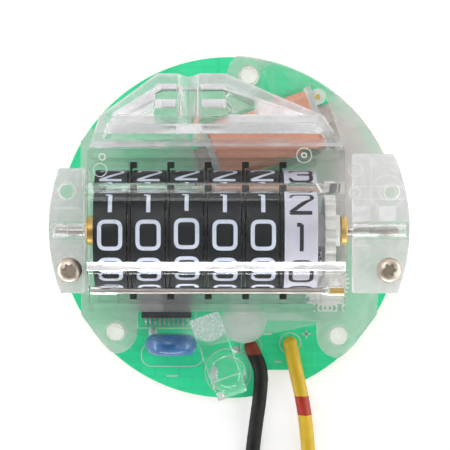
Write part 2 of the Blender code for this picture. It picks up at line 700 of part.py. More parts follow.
def plate_outline():
    """The back plate's edge, anticlockwise from the left lug."""
    top, left, right = lug_centres()
    edge = BOARD_RADIUS - PLATE_EDGE
    points = [(PLATE_LEFT, PLATE_LOWER_CORNER)]
    points += arc(*left, LUG_RADIUS, 215, 370, 8)
    points += [(left[0] + LUG_RADIUS, PLATE_LOWER_EDGE), (MIDDLE_LOBE_X - LUG_RADIUS, PLATE_LOWER_EDGE)]
    points += arc(MIDDLE_LOBE_X, MIDDLE_LOBE_Y, LUG_RADIUS, 180, 360, 8)
    points += [(MIDDLE_LOBE_X + LUG_RADIUS, PLATE_INNER_LOWER_EDGE)]
    points += [(right[0] - LUG_RADIUS, PLATE_INNER_LOWER_EDGE)]
    points += arc(*right, LUG_RADIUS, 180, 325, 8)
    points += [(PLATE_RIGHT, PLATE_LOWER_CORNER), (PLATE_RIGHT, BLOCK_BOTTOM)]
    start = math.degrees(math.asin(BLOCK_RIGHT_TOP / edge))
    points += arc(0, 0, edge, start, 74, 10)
    points += arc(*top, LUG_RADIUS, 60, 185, 8)
    hood_top = HOOD_BOTTOM + HOOD_HEIGHT - HOOD_WALL
    hood_shoulder = HOOD_BOTTOM + HOOD_HEIGHT * HOOD_RIB_SHARE - HOOD_WALL
    points += [(HOOD_LEFT + HOOD_WIDTH * HOOD_OUTLINE_SHARES[-2][0], hood_top)]
    points += [(HOOD_LEFT + HOOD_WALL * 2, hood_shoulder + HOOD_WALL)]
    points += [(PLATE_LEFT + PLATE_SHOULDER, PLATE_UPPER_CORNER + PLATE_SHOULDER)]
    points += [(PLATE_LEFT, PLATE_UPPER_CORNER)]
    return within_board(points)


def coil_space(name, clearance, low, high):
    """The coil's space, as a cutter for what stands over or round it."""
    x = COIL_LENGTH / 2 + CORE_REACH + clearance
    y = COIL_WIDTH / 2 + clearance
    short_x = x - COIL_SPACE_CORNER
    short_y = y - COIL_SPACE_CORNER
    corners = (
        (-short_x, -y), (short_x, -y), (x, -short_y), (x, short_y),
        (short_x, y), (-short_x, y), (-x, short_y), (-x, -short_y),
    )
    return plate(name, [[coil_point(*corner) for corner in corners]], low, high)


def block_outline(side, inner, top):
    """A bearing block's outline: straight inside, and on the board's circle outside."""
    edge = BOARD_RADIUS
    low = math.degrees(math.asin(BLOCK_BOTTOM / edge))
    high = math.degrees(math.asin(top / edge))
    outer = arc(0, 0, edge, low, high, 8)
    if side < 0:
        outer = [(-x, y) for x, y in reversed(outer)]
        return [(inner, BLOCK_BOTTOM), (inner, top), *outer]
    return [(inner, top), (inner, BLOCK_BOTTOM), *outer]


def make_back_plate():
    """The clear back plate, with its lugs' feet and the two blocks that carry the shaft."""
    body = plate("back_plate", [plate_outline()], PLATE_BOTTOM, PLATE_TOP, CLEAR, PARTS)
    foot = BOARD_THICK + SEAT_GAP
    middle = (PLATE_BOTTOM + PLATE_TOP) / 2
    for i, (x, y) in enumerate(lug_centres()):
        boss = circle(x, y, LUG_RADIUS * 0.75, PIN_SIDES)
        join(body, plate(f"lug boss {i}", [boss], foot, middle))
    for name, side, inner, top in (
        ("left block", -1, BLOCK_LEFT_FACE, BLOCK_LEFT_TOP),
        ("right block", 1, BLOCK_RIGHT_FACE, BLOCK_RIGHT_TOP),
    ):
        join(body, plate(name, [block_outline(side, inner, top)], middle, BLOCK_TOP))
        dowel = circle(side * DOWEL_X, DOWEL_Y, DOWEL_RADIUS, PIN_SIDES)
        join(body, plate(f"{name} dowel", [dowel], middle, CAP_TOP - SEAT_GAP))
        hole = circle(side * CAP_SCREW_X, CAP_SCREW_Y, SCREW_SHANK_RADIUS + RUN_GAP, PIN_SIDES)
        low = CAP_TOP - SCREW_SHANK_LENGTH
        cut(body, plate(f"{name} screw hole", [hole], low, BLOCK_TOP + OVERRUN))
    bump = circle(MIDDLE_LOBE_X, MIDDLE_LOBE_Y, LOBE_BUMP_RADIUS, PIN_SIDES)
    join(body, plate("lobe bump", [bump], middle, PLATE_TOP + LOBE_BUMP_HEIGHT))
    saddle = circle(0, 0, BORE_RADIUS, PIN_SIDES)
    cut(body, disc("shaft saddle", [saddle], -BOARD_RADIUS + SHAFT_RADIUS / 2, BOARD_RADIUS - SHAFT_RADIUS / 2))
    cut(body, coil_space("coil cut-out", COIL_CLEARANCE, PLATE_BOTTOM - OVERRUN, PLATE_TOP + OVERRUN))
    for x, y in lug_centres():
        round_hole(body, x, y, LUG_BORE_RADIUS, 0, PLATE_TOP + OVERRUN)
    round_hole(body, WORM_X, WORM_Y, WORM_PIVOT_RADIUS + RUN_GAP, PLATE_BOTTOM - OVERRUN, PLATE_TOP + OVERRUN, WIRE_SIDES)
    round_hole(body, ROTOR_X, ROTOR_Y, ROTOR_HUB_RADIUS + SEAT_GAP, PLATE_BOTTOM - OVERRUN, PLATE_TOP + OVERRUN)


def make_cap(name, side, inner, top):
    """A clear cap that holds the shaft down on its block."""
    body = plate(name, [block_outline(side, inner, top)], CAP_BOTTOM, CAP_TOP, FROSTED, PARTS)
    groove = circle(0, 0, BORE_RADIUS, PIN_SIDES)
    reach = BOARD_RADIUS - SHAFT_RADIUS / 2
    cut(body, disc(f"{name} groove", [groove], -reach, reach))
    round_hole(body, side * DOWEL_X, DOWEL_Y, DOWEL_RADIUS + RUN_GAP, CAP_BOTTOM - OVERRUN, CAP_TOP + OVERRUN)
    round_hole(body, side * CAP_SCREW_X, CAP_SCREW_Y, SCREW_SHANK_RADIUS + RUN_GAP,
               CAP_BOTTOM - OVERRUN, CAP_TOP + OVERRUN)


def make_cap_screw(name, side):
    """A pan-head screw that holds a cap down."""
    head = SCREW_HEAD_RADIUS
    rise = SCREW_HEAD_HEIGHT
    profile = [
        (0, rise),
        (head * 0.55, rise * 0.95),
        (head * 0.88, rise * 0.66),
        (head, rise * 0.25),
        (head, 0),
        (SCREW_SHANK_RADIUS, 0),
        (SCREW_SHANK_RADIUS, -SCREW_SHANK_LENGTH + SEAT_GAP + SCREW_SHANK_RADIUS),
        (0, -SCREW_SHANK_LENGTH + SEAT_GAP + RUN_GAP),
    ]
    centre = (side * CAP_SCREW_X, CAP_SCREW_Y, CAP_TOP + SEAT_GAP / 2)
    turned(name, profile, NICKEL, centre)


def make_shaft():
    """The steel number shaft, necked at its right end."""
    neck_end = SHAFT_NECK_START + SHAFT_NECK_LENGTH
    edge = SHAFT_RADIUS * 0.4
    profile = [
        (0, SHAFT_RIGHT_END),
        (SHAFT_RADIUS - edge, SHAFT_RIGHT_END),
        (SHAFT_RADIUS, SHAFT_RIGHT_END - edge),
        (SHAFT_RADIUS, neck_end),
        (SHAFT_NECK_RADIUS, neck_end),
        (SHAFT_NECK_RADIUS, SHAFT_NECK_START),
        (SHAFT_RADIUS, SHAFT_NECK_START),
        (SHAFT_RADIUS, SHAFT_LEFT_END + edge),
        (SHAFT_RADIUS - edge, SHAFT_LEFT_END),
        (0, SHAFT_LEFT_END),
    ]
    turned("number_shaft", profile, STEEL, (0, SHAFT_Y, SHAFT_Z), along="X")


def make_collars():
    """The brass bush and washer that keep the drums in place along the shaft."""
    bush_end = DRUM_START - SIDE_GAP
    bush = [circle(0, 0, BUSH_RADIUS, BODY_SIDES), circle(0, 0, BORE_RADIUS, PIN_SIDES)]
    disc("left_bush", bush, bush_end - BUSH_LENGTH, bush_end, BRASS, PARTS)
    disc("right_washer", bush, WASHER_START, WASHER_START + WASHER_THICK, BRASS, PARTS)


def ring_gap_angles(radius_share):
    """Half the angle of a gap between the ring's teeth."""
    return math.pi / RING_TEETH * radius_share


def ring_outline(phase):
    """The space inside a drum's ring of teeth."""
    return gear_outline(
        RING_TEETH,
        RING_TIP_RADIUS,
        RING_ROOT_RADIUS,
        ring_gap_angles(RING_GAP_INNER_SHARE),
        ring_gap_angles(RING_GAP_OUTER_SHARE),
        phase,
    )


def lock_outline(middle):
    """The space inside the locking ring: round, but for the two teeth that turn a pinion."""
    pitch = math.tau / RING_TEETH
    inner = ring_gap_angles(RING_GAP_INNER_SHARE)
    outer = ring_gap_angles(RING_GAP_OUTER_SHARE)
    root = RING_ROOT_RADIUS
    tip = RING_TIP_RADIUS
    points = []
    for step in (-1, 0, 1):
        gap = middle + step * pitch
        first = LOCK_RING_RADIUS if step == -1 else tip
        last = LOCK_RING_RADIUS if step == 1 else tip
        for radius, angle in ((first, -inner), (root, -outer), (root, outer), (last, inner)):
            points.append((radius * math.cos(gap + angle), radius * math.sin(gap + angle)))
    start = middle + pitch + inner
    sweep = math.tau - 2 * (pitch + inner)
    steps = RIM_SIDES - 8
    for i in range(1, steps):
        angle = start + sweep * i / steps
        points.append((LOCK_RING_RADIUS * math.cos(angle), LOCK_RING_RADIUS * math.sin(angle)))
    return points


def drum_left(index):
    """The X of a drum's left face. The highest digit has index 0."""
    return DRUM_START + index * DRUM_PITCH


def make_drum(index):
    """A drum: a ring of teeth on its right, a locking ring with two teeth on its left."""
    last = index == DRUM_COUNT - 1
    name = "tenths_drum" if last else f"number_drum_{index + 1}"
    left = drum_left(index)
    right = left + DRUM_WIDTH
    body = disc(
        name,
        [circle(0, 0, DRUM_RADIUS, RIM_SIDES), circle(0, 0, BORE_RADIUS, PIN_SIDES)],
        left, right, WHITE if last else BLACK, PARTS,
    )
    hub = circle(0, 0, HUB_RADIUS, PIN_SIDES)
    plain = circle(0, 0, DRUM_BORE_RADIUS, RIM_SIDES)
    towards_pinion = math.radians(-90)
    hollow = plain if last else ring_outline(towards_pinion)
    cut(body, disc(f"{name} right hollow", [hollow, hub], left + WEB_RIGHT, right + OVERRUN))
    if index:
        passed = math.tau / 10 * (1.5 if last else 0.5)
        lock = lock_outline(towards_pinion + passed)
        cut(body, disc(f"{name} lock space", [lock, hub], left - OVERRUN, left + WEB_LEFT))
    deep = left + (DRUM_RECESS_DEPTH if index else WEB_LEFT)
    cut(body, disc(f"{name} recess", [plain, hub], left - OVERRUN * 2, deep))
    return body


def make_carrier(index):
    """The plate between two drums, which carries their transfer pinion and has two lugs."""
    name = f"pinion_carrier_{index + 1}"
    left = drum_left(index) + DRUM_WIDTH + CARRIER_SIDE
    right = left + CARRIER_THICK
    body = disc(
        name,
        [
            circle(0, 0, CARRIER_RADIUS, RIM_SIDES),
            circle(0, 0, CARRIER_HOLE_RADIUS, PIN_SIDES),
            circle(0, -PINION_CENTRE, PINION_JOURNAL_RADIUS + RUN_GAP, BODY_SIDES),
        ],
        left, right, BLACK, PARTS,
    )
    low = left + LUG_INSET
    rise = DRUM_RADIUS + CARRIER_LUG_RISE
    for end, side in (("upper", 1), ("lower", -1)):
        lug = [
            (low, side * CARRIER_LUG_ROOT), (right - LUG_INSET, side * CARRIER_LUG_ROOT),
            (right - LUG_INSET, side * rise), (low + CARRIER_LUG_WIDTH, side * rise),
            (low + CARRIER_LUG_WIDTH, side * CARRIER_LUG_TOP), (low, side * CARRIER_LUG_TOP),
        ]
        lug = [(x, y + SHAFT_Y) for x, y in lug]
        depth = CARRIER_LUG_DEPTH / 2
        join(body, plate(f"{name} {end} lug", [lug], SHAFT_Z - depth, SHAFT_Z + depth))


def pinion_outline(teeth, phase):
    """The pinion's outline, with all its teeth or every other one."""
    half = math.pi / PINION_TEETH
    return gear_outline(
        teeth,
        PINION_PITCH_RADIUS - TRANSFER_MODULE * PINION_DEDENDUM_SHARE,
        PINION_TIP_RADIUS,
        half * PINION_ROOT_SHARE,
        half * PINION_TIP_SHARE,
        phase,
    )


def make_pinion(index):
    """A transfer pinion: six teeth in the higher drum, every other one long into the lower drum."""
    name = f"transfer_pinion_{index + 1}"
    left = drum_left(index) + WEB_RIGHT + SEAT_GAP
    plate_left = drum_left(index) + DRUM_WIDTH + CARRIER_SIDE
    plate_right = plate_left + CARRIER_THICK
    right = drum_left(index + 1) + PINION_RIGHT_REACH
    z = SHAFT_Z - PINION_CENTRE
    down = math.radians(-90)
    body = disc(name, [pinion_outline(PINION_TEETH, down)], left, plate_right, NYLON, PARTS, z=z)
    long_teeth = pinion_outline(PINION_TEETH // 2, down)
    shift = CARRIER_THICK / 2
    join(body, disc(f"{name} long teeth", [long_teeth], plate_left + shift, right, z=z))
    journal = circle(0, 0, PINION_JOURNAL_RADIUS, BODY_SIDES)
    edge = CARRIER_SIDE / 2
    join(body, disc(f"{name} journal", [journal], plate_left - edge, plate_right + edge, z=z))


def make_drive_gear():
    """The toothed wheel beside the tenths drum, which the worm turns."""
    half = math.pi / DRIVE_TEETH
    towards_worm = math.pi
    teeth = gear_outline(
        DRIVE_TEETH,
        DRIVE_PITCH_RADIUS - WORM_MODULE * DRIVE_DEDENDUM_SHARE,
        DRIVE_PITCH_RADIUS + WORM_MODULE * DRIVE_ADDENDUM_SHARE,
        half * DRIVE_ROOT_SHARE,
        half * DRIVE_TIP_SHARE,
        towards_worm + half,
    )
    bore = circle(0, 0, BORE_RADIUS, PIN_SIDES)
    body = disc("drive_gear", [teeth, bore], WORM_X - DRIVE_GEAR_WIDTH / 2,
                WORM_X + DRIVE_GEAR_WIDTH / 2, NYLON, PARTS)
    hub = disc("drive hub", [circle(0, 0, DRIVE_HUB_RADIUS, BODY_SIDES), bore],
               DRIVE_HUB_START, DRIVE_HUB_START + DRIVE_HUB_WIDTH)
    join(body, hub)


def worm_thread(turns):
    """One right-hand thread, spun from its section and closed at both ends."""
    lead = math.pi * WORM_MODULE
    base = lead * WORM_BASE_SHARE / 2
    crest = lead * WORM_TIP_SHARE / 2
    sunk = WORM_ROOT_RADIUS * 0.8
    shape = bmesh.new()
    section = [
        shape.verts.new((0, radius, height))
        for radius, height in (
            (sunk, -base), (WORM_ROOT_RADIUS, -base), (WORM_TIP_RADIUS, -crest),
            (WORM_TIP_RADIUS, crest), (WORM_ROOT_RADIUS, base), (sunk, base),
        )
    ]
    edges = [shape.edges.new((a, b)) for a, b in zip(section, section[1:] + section[:1])]
    bmesh.ops.rotate(shape, verts=shape.verts, cent=(0, 0, 0),
                     matrix=Matrix.Rotation(-math.pi * turns, 3, "Z"))
    bmesh.ops.translate(shape, verts=shape.verts, vec=(0, 0, -lead * turns / 2))
    steps = round(WORM_STEPS_PER_TURN * turns)
    bmesh.ops.spin(shape, geom=section + edges, cent=(0, 0, 0), axis=(0, 0, 1),
                   dvec=(0, 0, lead * turns / steps), angle=math.tau * turns, steps=steps)
    open_edges = [edge for edge in shape.edges if edge.is_boundary]
    bmesh.ops.holes_fill(shape, edges=open_edges, sides=len(section))
    bmesh.ops.recalc_face_normals(shape, faces=shape.faces)
    mesh = bpy.data.meshes.new("worm thread")
    shape.to_mesh(mesh)
    shape.free()
    made = place("worm thread", mesh, None, CUTTERS)
    made.location = (WORM_X, WORM_Y, SHAFT_Z)
    return made


def train_outline(teeth, root_share, tip_share, phase):
    """The outline of a gear of the motor's train."""
    half = math.pi / teeth
    pitch_radius = TRAIN_MODULE * teeth / 2
    return gear_outline(
        teeth,
        pitch_radius - TRAIN_MODULE * TRAIN_DEDENDUM_SHARE,
        pitch_radius + TRAIN_MODULE * TRAIN_ADDENDUM_SHARE,
        half * root_share,
        half * tip_share,
        phase,
    )


def make_worm_shaft():
    """The worm, its wheel and its two pivots, moulded in one piece."""
    low = PLATE_TOP - WORM_PIVOT_LENGTH
    high = ROD_BLOCK_BOTTOM + WORM_PIVOT_LENGTH / 2
    shoulder = ROD_BLOCK_BOTTOM - SEAT_GAP
    profile = [
        (0, high),
        (WORM_PIVOT_RADIUS, high),
        (WORM_PIVOT_RADIUS, shoulder),
        (WORM_ROOT_RADIUS, shoulder),
        (WORM_ROOT_RADIUS, PLATE_TOP + SEAT_GAP / 2),
        (WORM_PIVOT_RADIUS, PLATE_TOP + SEAT_GAP / 2),
        (WORM_PIVOT_RADIUS, low),
        (0, low),
    ]
    body = turned("worm_shaft", profile, NYLON, (WORM_X, WORM_Y, 0), sides=WIRE_SIDES)
    outline = train_outline(WHEEL_TEETH, WHEEL_ROOT_SHARE, WHEEL_TIP_SHARE, math.pi / 2)
    join(body, plate("worm wheel", [outline], WHEEL_Z, WHEEL_Z + WHEEL_THICK, x=WORM_X, y=WORM_Y))
    join(body, worm_thread(WORM_LENGTH / (math.pi * WORM_MODULE)))


def make_rotor():
    """The rotor: a ring magnet on a moulded pinion that turns on a steel pin."""
    top = WHEEL_Z + ROTOR_PINION_HEIGHT
    bore_radius = ROTOR_PIN_RADIUS + RUN_GAP
    bore = circle(0, 0, bore_radius, WIRE_SIDES)
    hub = circle(0, 0, ROTOR_HUB_RADIUS, PIN_SIDES)
    body = plate("rotor_pinion", [hub, bore], MAGNET_Z, WHEEL_Z, NYLON, PARTS, ROTOR_X, ROTOR_Y)
    half = math.pi / ROTOR_TEETH
    teeth = train_outline(ROTOR_TEETH, ROTOR_ROOT_SHARE, ROTOR_TIP_SHARE, -math.pi / 2 + half)
    join(body, plate("rotor teeth", [teeth, bore], WHEEL_Z - WHEEL_LIFT / 2, top,
                     x=ROTOR_X, y=ROTOR_Y))
    magnet = circle(0, 0, MAGNET_RADIUS, BODY_SIDES)
    eye = circle(0, 0, ROTOR_HUB_RADIUS + RUN_GAP, PIN_SIDES)
    plate("rotor_magnet", [magnet, eye], MAGNET_Z, MAGNET_Z + MAGNET_THICK, DARK_STEEL, PARTS,
          ROTOR_X, ROTOR_Y)
    pin = circle(ROTOR_X, ROTOR_Y, ROTOR_PIN_RADIUS, WIRE_SIDES)
    plate("rotor_pin", [pin], LEG_END, top + SEAT_GAP, STEEL, PARTS)


def strip(start, end, width):
    """A straight strip's outline between two points."""
    along = (Vector(end) - Vector(start)).normalized()
    side = Vector((-along.y, along.x)) * width / 2
    ends = (Vector(start) - side, Vector(end) - side, Vector(end) + side, Vector(start) + side)
    return [tuple(corner) for corner in ends]


def make_stator():
    """The stator: two arms of soft iron from the core's feet, past the coil, to the magnet, and a broad wing."""
    eye = (ROTOR_X, ROTOR_Y)
    top = STATOR_Z + STATOR_THICK
    ring = circle(*eye, STATOR_EYE_RADIUS, BODY_SIDES)
    body = plate("stator", [ring], STATOR_Z, top, DARK_STEEL, PARTS)
    reach = COIL_LENGTH / 2 + SEAT_GAP + STATOR_ARM_WIDTH / 2
    turn = COIL_WIDTH / 2 + COIL_CLEARANCE + STATOR_ARM_WIDTH / 2
    step = RUN_GAP / 2
    for i, side in enumerate((-1, 1)):
        foot = coil_point(side * reach, STATOR_ARM_END)
        corner = coil_point(side * reach, -turn)
        arm = strip(foot, corner, STATOR_ARM_WIDTH)
        join(body, plate(f"stator arm {i}", [arm], STATOR_Z + step, top - step))
        join(body, plate(f"stator bend {i}", [circle(*corner, STATOR_ARM_WIDTH / 2, PIN_SIDES)],
                         STATOR_Z + step * 2, top - step * 2))
        leg = strip(corner, eye, STATOR_ARM_WIDTH)
        join(body, plate(f"stator leg {i}", [leg], STATOR_Z + step * 3, top - step * 3))
    edge = BOARD_RADIUS - STATOR_EDGE_REACH
    shoulder = (edge - STATOR_WING_CUT, corner[1] + STATOR_WING_RISE)
    wing = [foot, corner, eye, (edge, eye[1] + STATOR_EYE_RADIUS), (edge, corner[1]), shoulder]
    join(body, plate("stator wing", [wing], STATOR_Z + step * 4, top - step * 4))
    round_hole(body, *eye, MAGNET_RADIUS + AIR_GAP, STATOR_Z - OVERRUN, top + OVERRUN, BODY_SIDES)


def coil_piece(name, section, left, right, look=None, collection=None):
    """A solid along the coil's axis, from an outline across it."""
    mesh = outline_mesh(name, section, right - left)
    made = place(name, mesh, look, collection or CUTTERS)
    tilt = Matrix.Rotation(math.radians(COIL_DEGREES), 4, "Z")
    middle = Matrix.Translation(((left + right) / 2, 0, 0))
    made.matrix_world = Matrix.Translation((COIL_X, COIL_Y, COIL_Z)) @ tilt @ middle @ SHAFT_TURN
    return made


def make_coil():
    """The bobbin with its two flanges and pin tabs, the copper winding and the iron core."""
    half = COIL_LENGTH / 2
    inner = half - COIL_FLANGE_THICK
    tube = rectangle(-BOBBIN_TUBE_WIDTH / 2, -BOBBIN_TUBE_HEIGHT / 2,
                     BOBBIN_TUBE_WIDTH / 2, BOBBIN_TUBE_HEIGHT / 2)
    bobbin = coil_piece("coil_bobbin", [tube], -half + RUN_GAP, half - RUN_GAP, NYLON, PARTS)
    flange = rounded_rectangle(COIL_WIDTH, COIL_HEIGHT, COIL_ROUND)
    join(bobbin, coil_piece("left flange", [flange], -half, -inner))
    join(bobbin, coil_piece("right flange", [flange], inner, half))
    top = COIL_Z + COIL_HEIGHT / 2 - RUN_GAP
    low = top - BOBBIN_TAB_THICK
    for i, (x, y) in enumerate(bobbin_pin_places()):
        side = 1 if i == 0 else -1
        root = coil_point(side * (half - COIL_FLANGE_THICK / 2), BOBBIN_TAB_ACROSS)
        tab = [strip(root, (x, y), BOBBIN_TAB_RADIUS * 1.6)]
        join(bobbin, plate(f"tab {i}", tab, low, top))
        end = circle(x, y, BOBBIN_TAB_RADIUS, PIN_SIDES)
        join(bobbin, plate(f"tab end {i}", [end], low + RUN_GAP / 2, top - RUN_GAP / 2))
        round_hole(bobbin, x, y, BOBBIN_PIN_RADIUS + RUN_GAP, low - OVERRUN, top + OVERRUN, WIRE_SIDES)
        pin = circle(x, y, BOBBIN_PIN_RADIUS, WIRE_SIDES)
        plate(f"bobbin_pin_{i + 1}", [pin], LEG_END, top + BOBBIN_PIN_RISE, BRASS, PARTS)
    core_hole = rectangle(-CORE_WIDTH / 2 - RUN_GAP, -CORE_THICK / 2 - RUN_GAP,
                          CORE_WIDTH / 2 + RUN_GAP, CORE_THICK / 2 + RUN_GAP)
    cut(bobbin, coil_piece("core hole", [core_hole], -half - OVERRUN, half + OVERRUN))
    outer = rounded_rectangle(COIL_WIDTH - 2 * WINDING_INSET, COIL_HEIGHT - 2 * WINDING_INSET, COIL_ROUND)
    bore = rectangle(-BOBBIN_TUBE_WIDTH / 2 - RUN_GAP, -BOBBIN_TUBE_HEIGHT / 2 - RUN_GAP,
                     BOBBIN_TUBE_WIDTH / 2 + RUN_GAP, BOBBIN_TUBE_HEIGHT / 2 + RUN_GAP)
    coil_piece("coil_winding", [outer, bore], -inner + RUN_GAP, inner - RUN_GAP, COPPER, PARTS)
    make_core(half)


def make_core(half):
    """The core: a flat bar through the bobbin, bent down at both ends to the stator."""
    outer = half + CORE_REACH
    inner = outer - CORE_THICK
    top = CORE_THICK / 2
    foot = STATOR_Z + STATOR_THICK + SEAT_GAP - COIL_Z
    side = [
        (-outer, foot), (-inner, foot), (-inner, -top), (inner, -top),
        (inner, foot), (outer, foot), (outer, top), (-outer, top),
    ]
    mesh = outline_mesh("coil_core", [side], CORE_WIDTH)
    made = place("coil_core", mesh, DARK_STEEL, PARTS)
    tilt = Matrix.Rotation(math.radians(COIL_DEGREES), 4, "Z")
    upright = Matrix.Rotation(math.pi / 2, 4, "X")
    made.matrix_world = Matrix.Translation((COIL_X, COIL_Y, COIL_Z)) @ tilt @ upright


def window_bend():
    """The upper end of the window's pocket: flat first, then bent down to its full slope."""
    slope = math.radians(WINDOW_SLOPE_DEGREES)
    straight = (PANEL_THICK - WINDOW_BEND_RADIUS * (1 - math.cos(slope))) / math.tan(slope)
    start = WINDOW_TOP - straight - WINDOW_BEND_RADIUS * math.sin(slope)
    points = []
    for step in range(WINDOW_BEND_STEPS + 1):
        angle = slope * step / WINDOW_BEND_STEPS
        across = start + WINDOW_BEND_RADIUS * math.sin(angle)
        points.append((across, PANEL_FRONT - WINDOW_BEND_RADIUS * (1 - math.cos(angle))))
    return points


def cover_profile():
    """The cover's section in Y and Z: two walls, a front panel and a raised window with a pocket behind."""
    chamfer = WINDOW_CHAMFER
    lip = WINDOW_BOTTOM - WINDOW_LIP
    points = [
        (COVER_OUTER_BOTTOM, COVER_FOOT), (COVER_INNER_BOTTOM, COVER_FOOT),
        (COVER_INNER_BOTTOM, PANEL_BACK), (WINDOW_BOTTOM, PANEL_BACK),
        (WINDOW_BOTTOM + PANEL_THICK, PANEL_FRONT), *window_bend(),
        (WINDOW_TOP, PANEL_BACK), (COVER_INNER_TOP, PANEL_BACK),
        (COVER_INNER_TOP, COVER_FOOT), (COVER_OUTER_TOP, COVER_FOOT),
        (COVER_OUTER_TOP, PANEL_FRONT), (WINDOW_TOP, PANEL_FRONT),
        (WINDOW_TOP, WINDOW_FRONT - chamfer), (WINDOW_TOP - chamfer, WINDOW_FRONT),
        (lip + chamfer, WINDOW_FRONT), (lip, WINDOW_FRONT - chamfer),
        (lip, PANEL_FRONT), (COVER_OUTER_BOTTOM, PANEL_FRONT),
    ]
    return points


def comb_outline(side):
    """A comb along the cover, with a slot for each carrier's lug."""
    inner = SHAFT_Y + side * (COVER_HALF - COMB_REACH)
    outer = SHAFT_Y + side * (COVER_HALF + COVER_WALL / 2)
    bottom = SHAFT_Y + side * (COVER_HALF - RUN_GAP)
    points = [(COVER_LEFT + COVER_WALL, outer), (COVER_LEFT + COVER_WALL, inner)]
    for index in range(DRUM_COUNT - 1):
        lug = drum_left(index) + DRUM_WIDTH + CARRIER_SIDE + LUG_INSET
        low = lug - COMB_SLOT_GAP
        high = lug + CARRIER_LUG_WIDTH + COMB_SLOT_GAP
        points += [(low, inner), (low, bottom), (high, bottom), (high, inner)]
    end = drum_left(DRUM_COUNT - 1) + DRUM_WIDTH
    points += [(end, inner), (end, outer)]
    return points


def make_front_cover():
    """The clear front cover: a channel over the drums with a window, combs and an apron."""
    body = disc("front_cover", [cover_profile()], COVER_LEFT, COVER_RIGHT, CLEAR, PARTS, y=0, z=0)
    half = COMB_HEIGHT / 2
    for end, side in (("upper", 1), ("lower", -1)):
        join(body, plate(f"{end} comb", [comb_outline(side)], SHAFT_Z - half, SHAFT_Z + half))
    wall = COVER_INNER_BOTTOM - COVER_WALL / 2
    panel = PANEL_BACK + PANEL_THICK / 2
    low_block = rectangle(wall, ROD_BLOCK_BOTTOM, ROD_BLOCK_INNER, panel)
    join(body, disc("rod block", [low_block], COVER_LEFT + RUN_GAP, COVER_LEFT + ROD_BLOCK_WIDTH, y=0, z=0))
    pivot_block = rectangle(wall, ROD_BLOCK_BOTTOM, PIVOT_BLOCK_INNER, panel)
    join(body, disc("pivot block", [pivot_block], PIVOT_BLOCK_LEFT, COVER_RIGHT - RUN_GAP, y=0, z=0))
    edge = COVER_INNER_BOTTOM - COVER_WALL / 2
    side_drop = COVER_OUTER_BOTTOM - APRON_SIDE_DROP
    apron = [
        (COVER_LEFT + RUN_GAP, edge), (COVER_LEFT + RUN_GAP, side_drop),
        (APRON_POINT_X, COVER_OUTER_BOTTOM - APRON_DROP),
        (COVER_RIGHT - RUN_GAP, side_drop), (COVER_RIGHT - RUN_GAP, edge),
    ]
    join(body, plate("apron", [apron], APRON_Z, APRON_Z + APRON_THICK))
    rod = circle(0, 0, ROD_RADIUS + RUN_GAP, WIRE_SIDES)
    cut(body, disc("rod hole", [rod], COVER_LEFT + RUN_GAP * 2, COVER_RIGHT + OVERRUN, y=ROD_Y, z=ROD_Z))
    plug = circle(0, 0, ROD_PLUG_RADIUS + RUN_GAP, PIN_SIDES)
    plug_start = COVER_RIGHT - ROD_PLUG_LENGTH - SEAT_GAP
    cut(body, disc("plug hole", [plug], plug_start, COVER_RIGHT + OVERRUN, y=ROD_Y, z=ROD_Z))
    round_hole(body, WORM_X, WORM_Y, WORM_PIVOT_RADIUS + RUN_GAP, ROD_BLOCK_BOTTOM - OVERRUN,
               ROD_BLOCK_BOTTOM + WORM_PIVOT_LENGTH, WIRE_SIDES)
    tip = TRAIN_MODULE * (WHEEL_TEETH / 2 + TRAIN_ADDENDUM_SHARE)
    wheel_space = circle(WORM_X, WORM_Y, tip + SEAT_GAP, BODY_SIDES)
    cut(body, plate("wheel space", [wheel_space], PLATE_TOP, WHEEL_Z + WHEEL_THICK + SEAT_GAP))
    over_coil = COIL_Z + COIL_HEIGHT / 2 + COIL_CLEARANCE
    cut(body, coil_space("cover over coil", COIL_CLEARANCE, 0, over_coil))
    pin_top = over_coil + BOBBIN_PIN_RISE
    for i, (x, y) in enumerate(bobbin_pin_places()):
        space = circle(x, y, BOBBIN_TAB_RADIUS + COIL_CLEARANCE, PIN_SIDES)
        cut(body, plate(f"cover over pin {i}", [space], 0, pin_top))


def make_rod():
    """The steel rod along the cover, and the brass plug that closes its hole."""
    end = COVER_RIGHT - ROD_PLUG_LENGTH - SEAT_GAP * 2
    rod = circle(0, 0, ROD_RADIUS, WIRE_SIDES)
    disc("retaining_rod", [rod], COVER_LEFT + RUN_GAP * 3, end, STEEL, PARTS, y=ROD_Y, z=ROD_Z)
    plug = circle(0, 0, ROD_PLUG_RADIUS, PIN_SIDES)
    disc("rod_plug", [plug], COVER_RIGHT - ROD_PLUG_LENGTH, COVER_RIGHT, BRASS, PARTS, y=ROD_Y, z=ROD_Z)


def hood_points():
    """The hood's outer corners."""
    return [
        (HOOD_LEFT + HOOD_WIDTH * x, HOOD_BOTTOM + HOOD_HEIGHT * y)
        for x, y in HOOD_OUTLINE_SHARES
    ]


def inset(points, distance):
    """A closed outline moved inwards by a distance, corner by corner."""
    moved = []
    count = len(points)
    for i in range(count):
        before, here, after = (Vector(points[j % count]) for j in (i - 1, i, i + 1))
        first = (here - before).normalized()
        second = (after - here).normalized()
        normal = Vector((-first.y, first.x)) + Vector((-second.y, second.x))
        length = distance / (normal.length_squared / 2)
        moved.append(tuple(here + normal * length))
    return moved


def tapered(name, loop, low, high, well):
    """A solid whose outline at the top is drawn in to a rectangle at the bottom."""
    mesh = slab_mesh(name, loop, high - low)
    left, bottom, right, top = well
    for corner in mesh.vertices:
        if corner.co.z < 0:
            corner.co.x = min(max(corner.co.x, left), right)
            corner.co.y = min(max(corner.co.y, bottom), top)
    made = place(name, mesh, None, CUTTERS)
    made.location = (0, 0, (low + high) / 2)
    return made


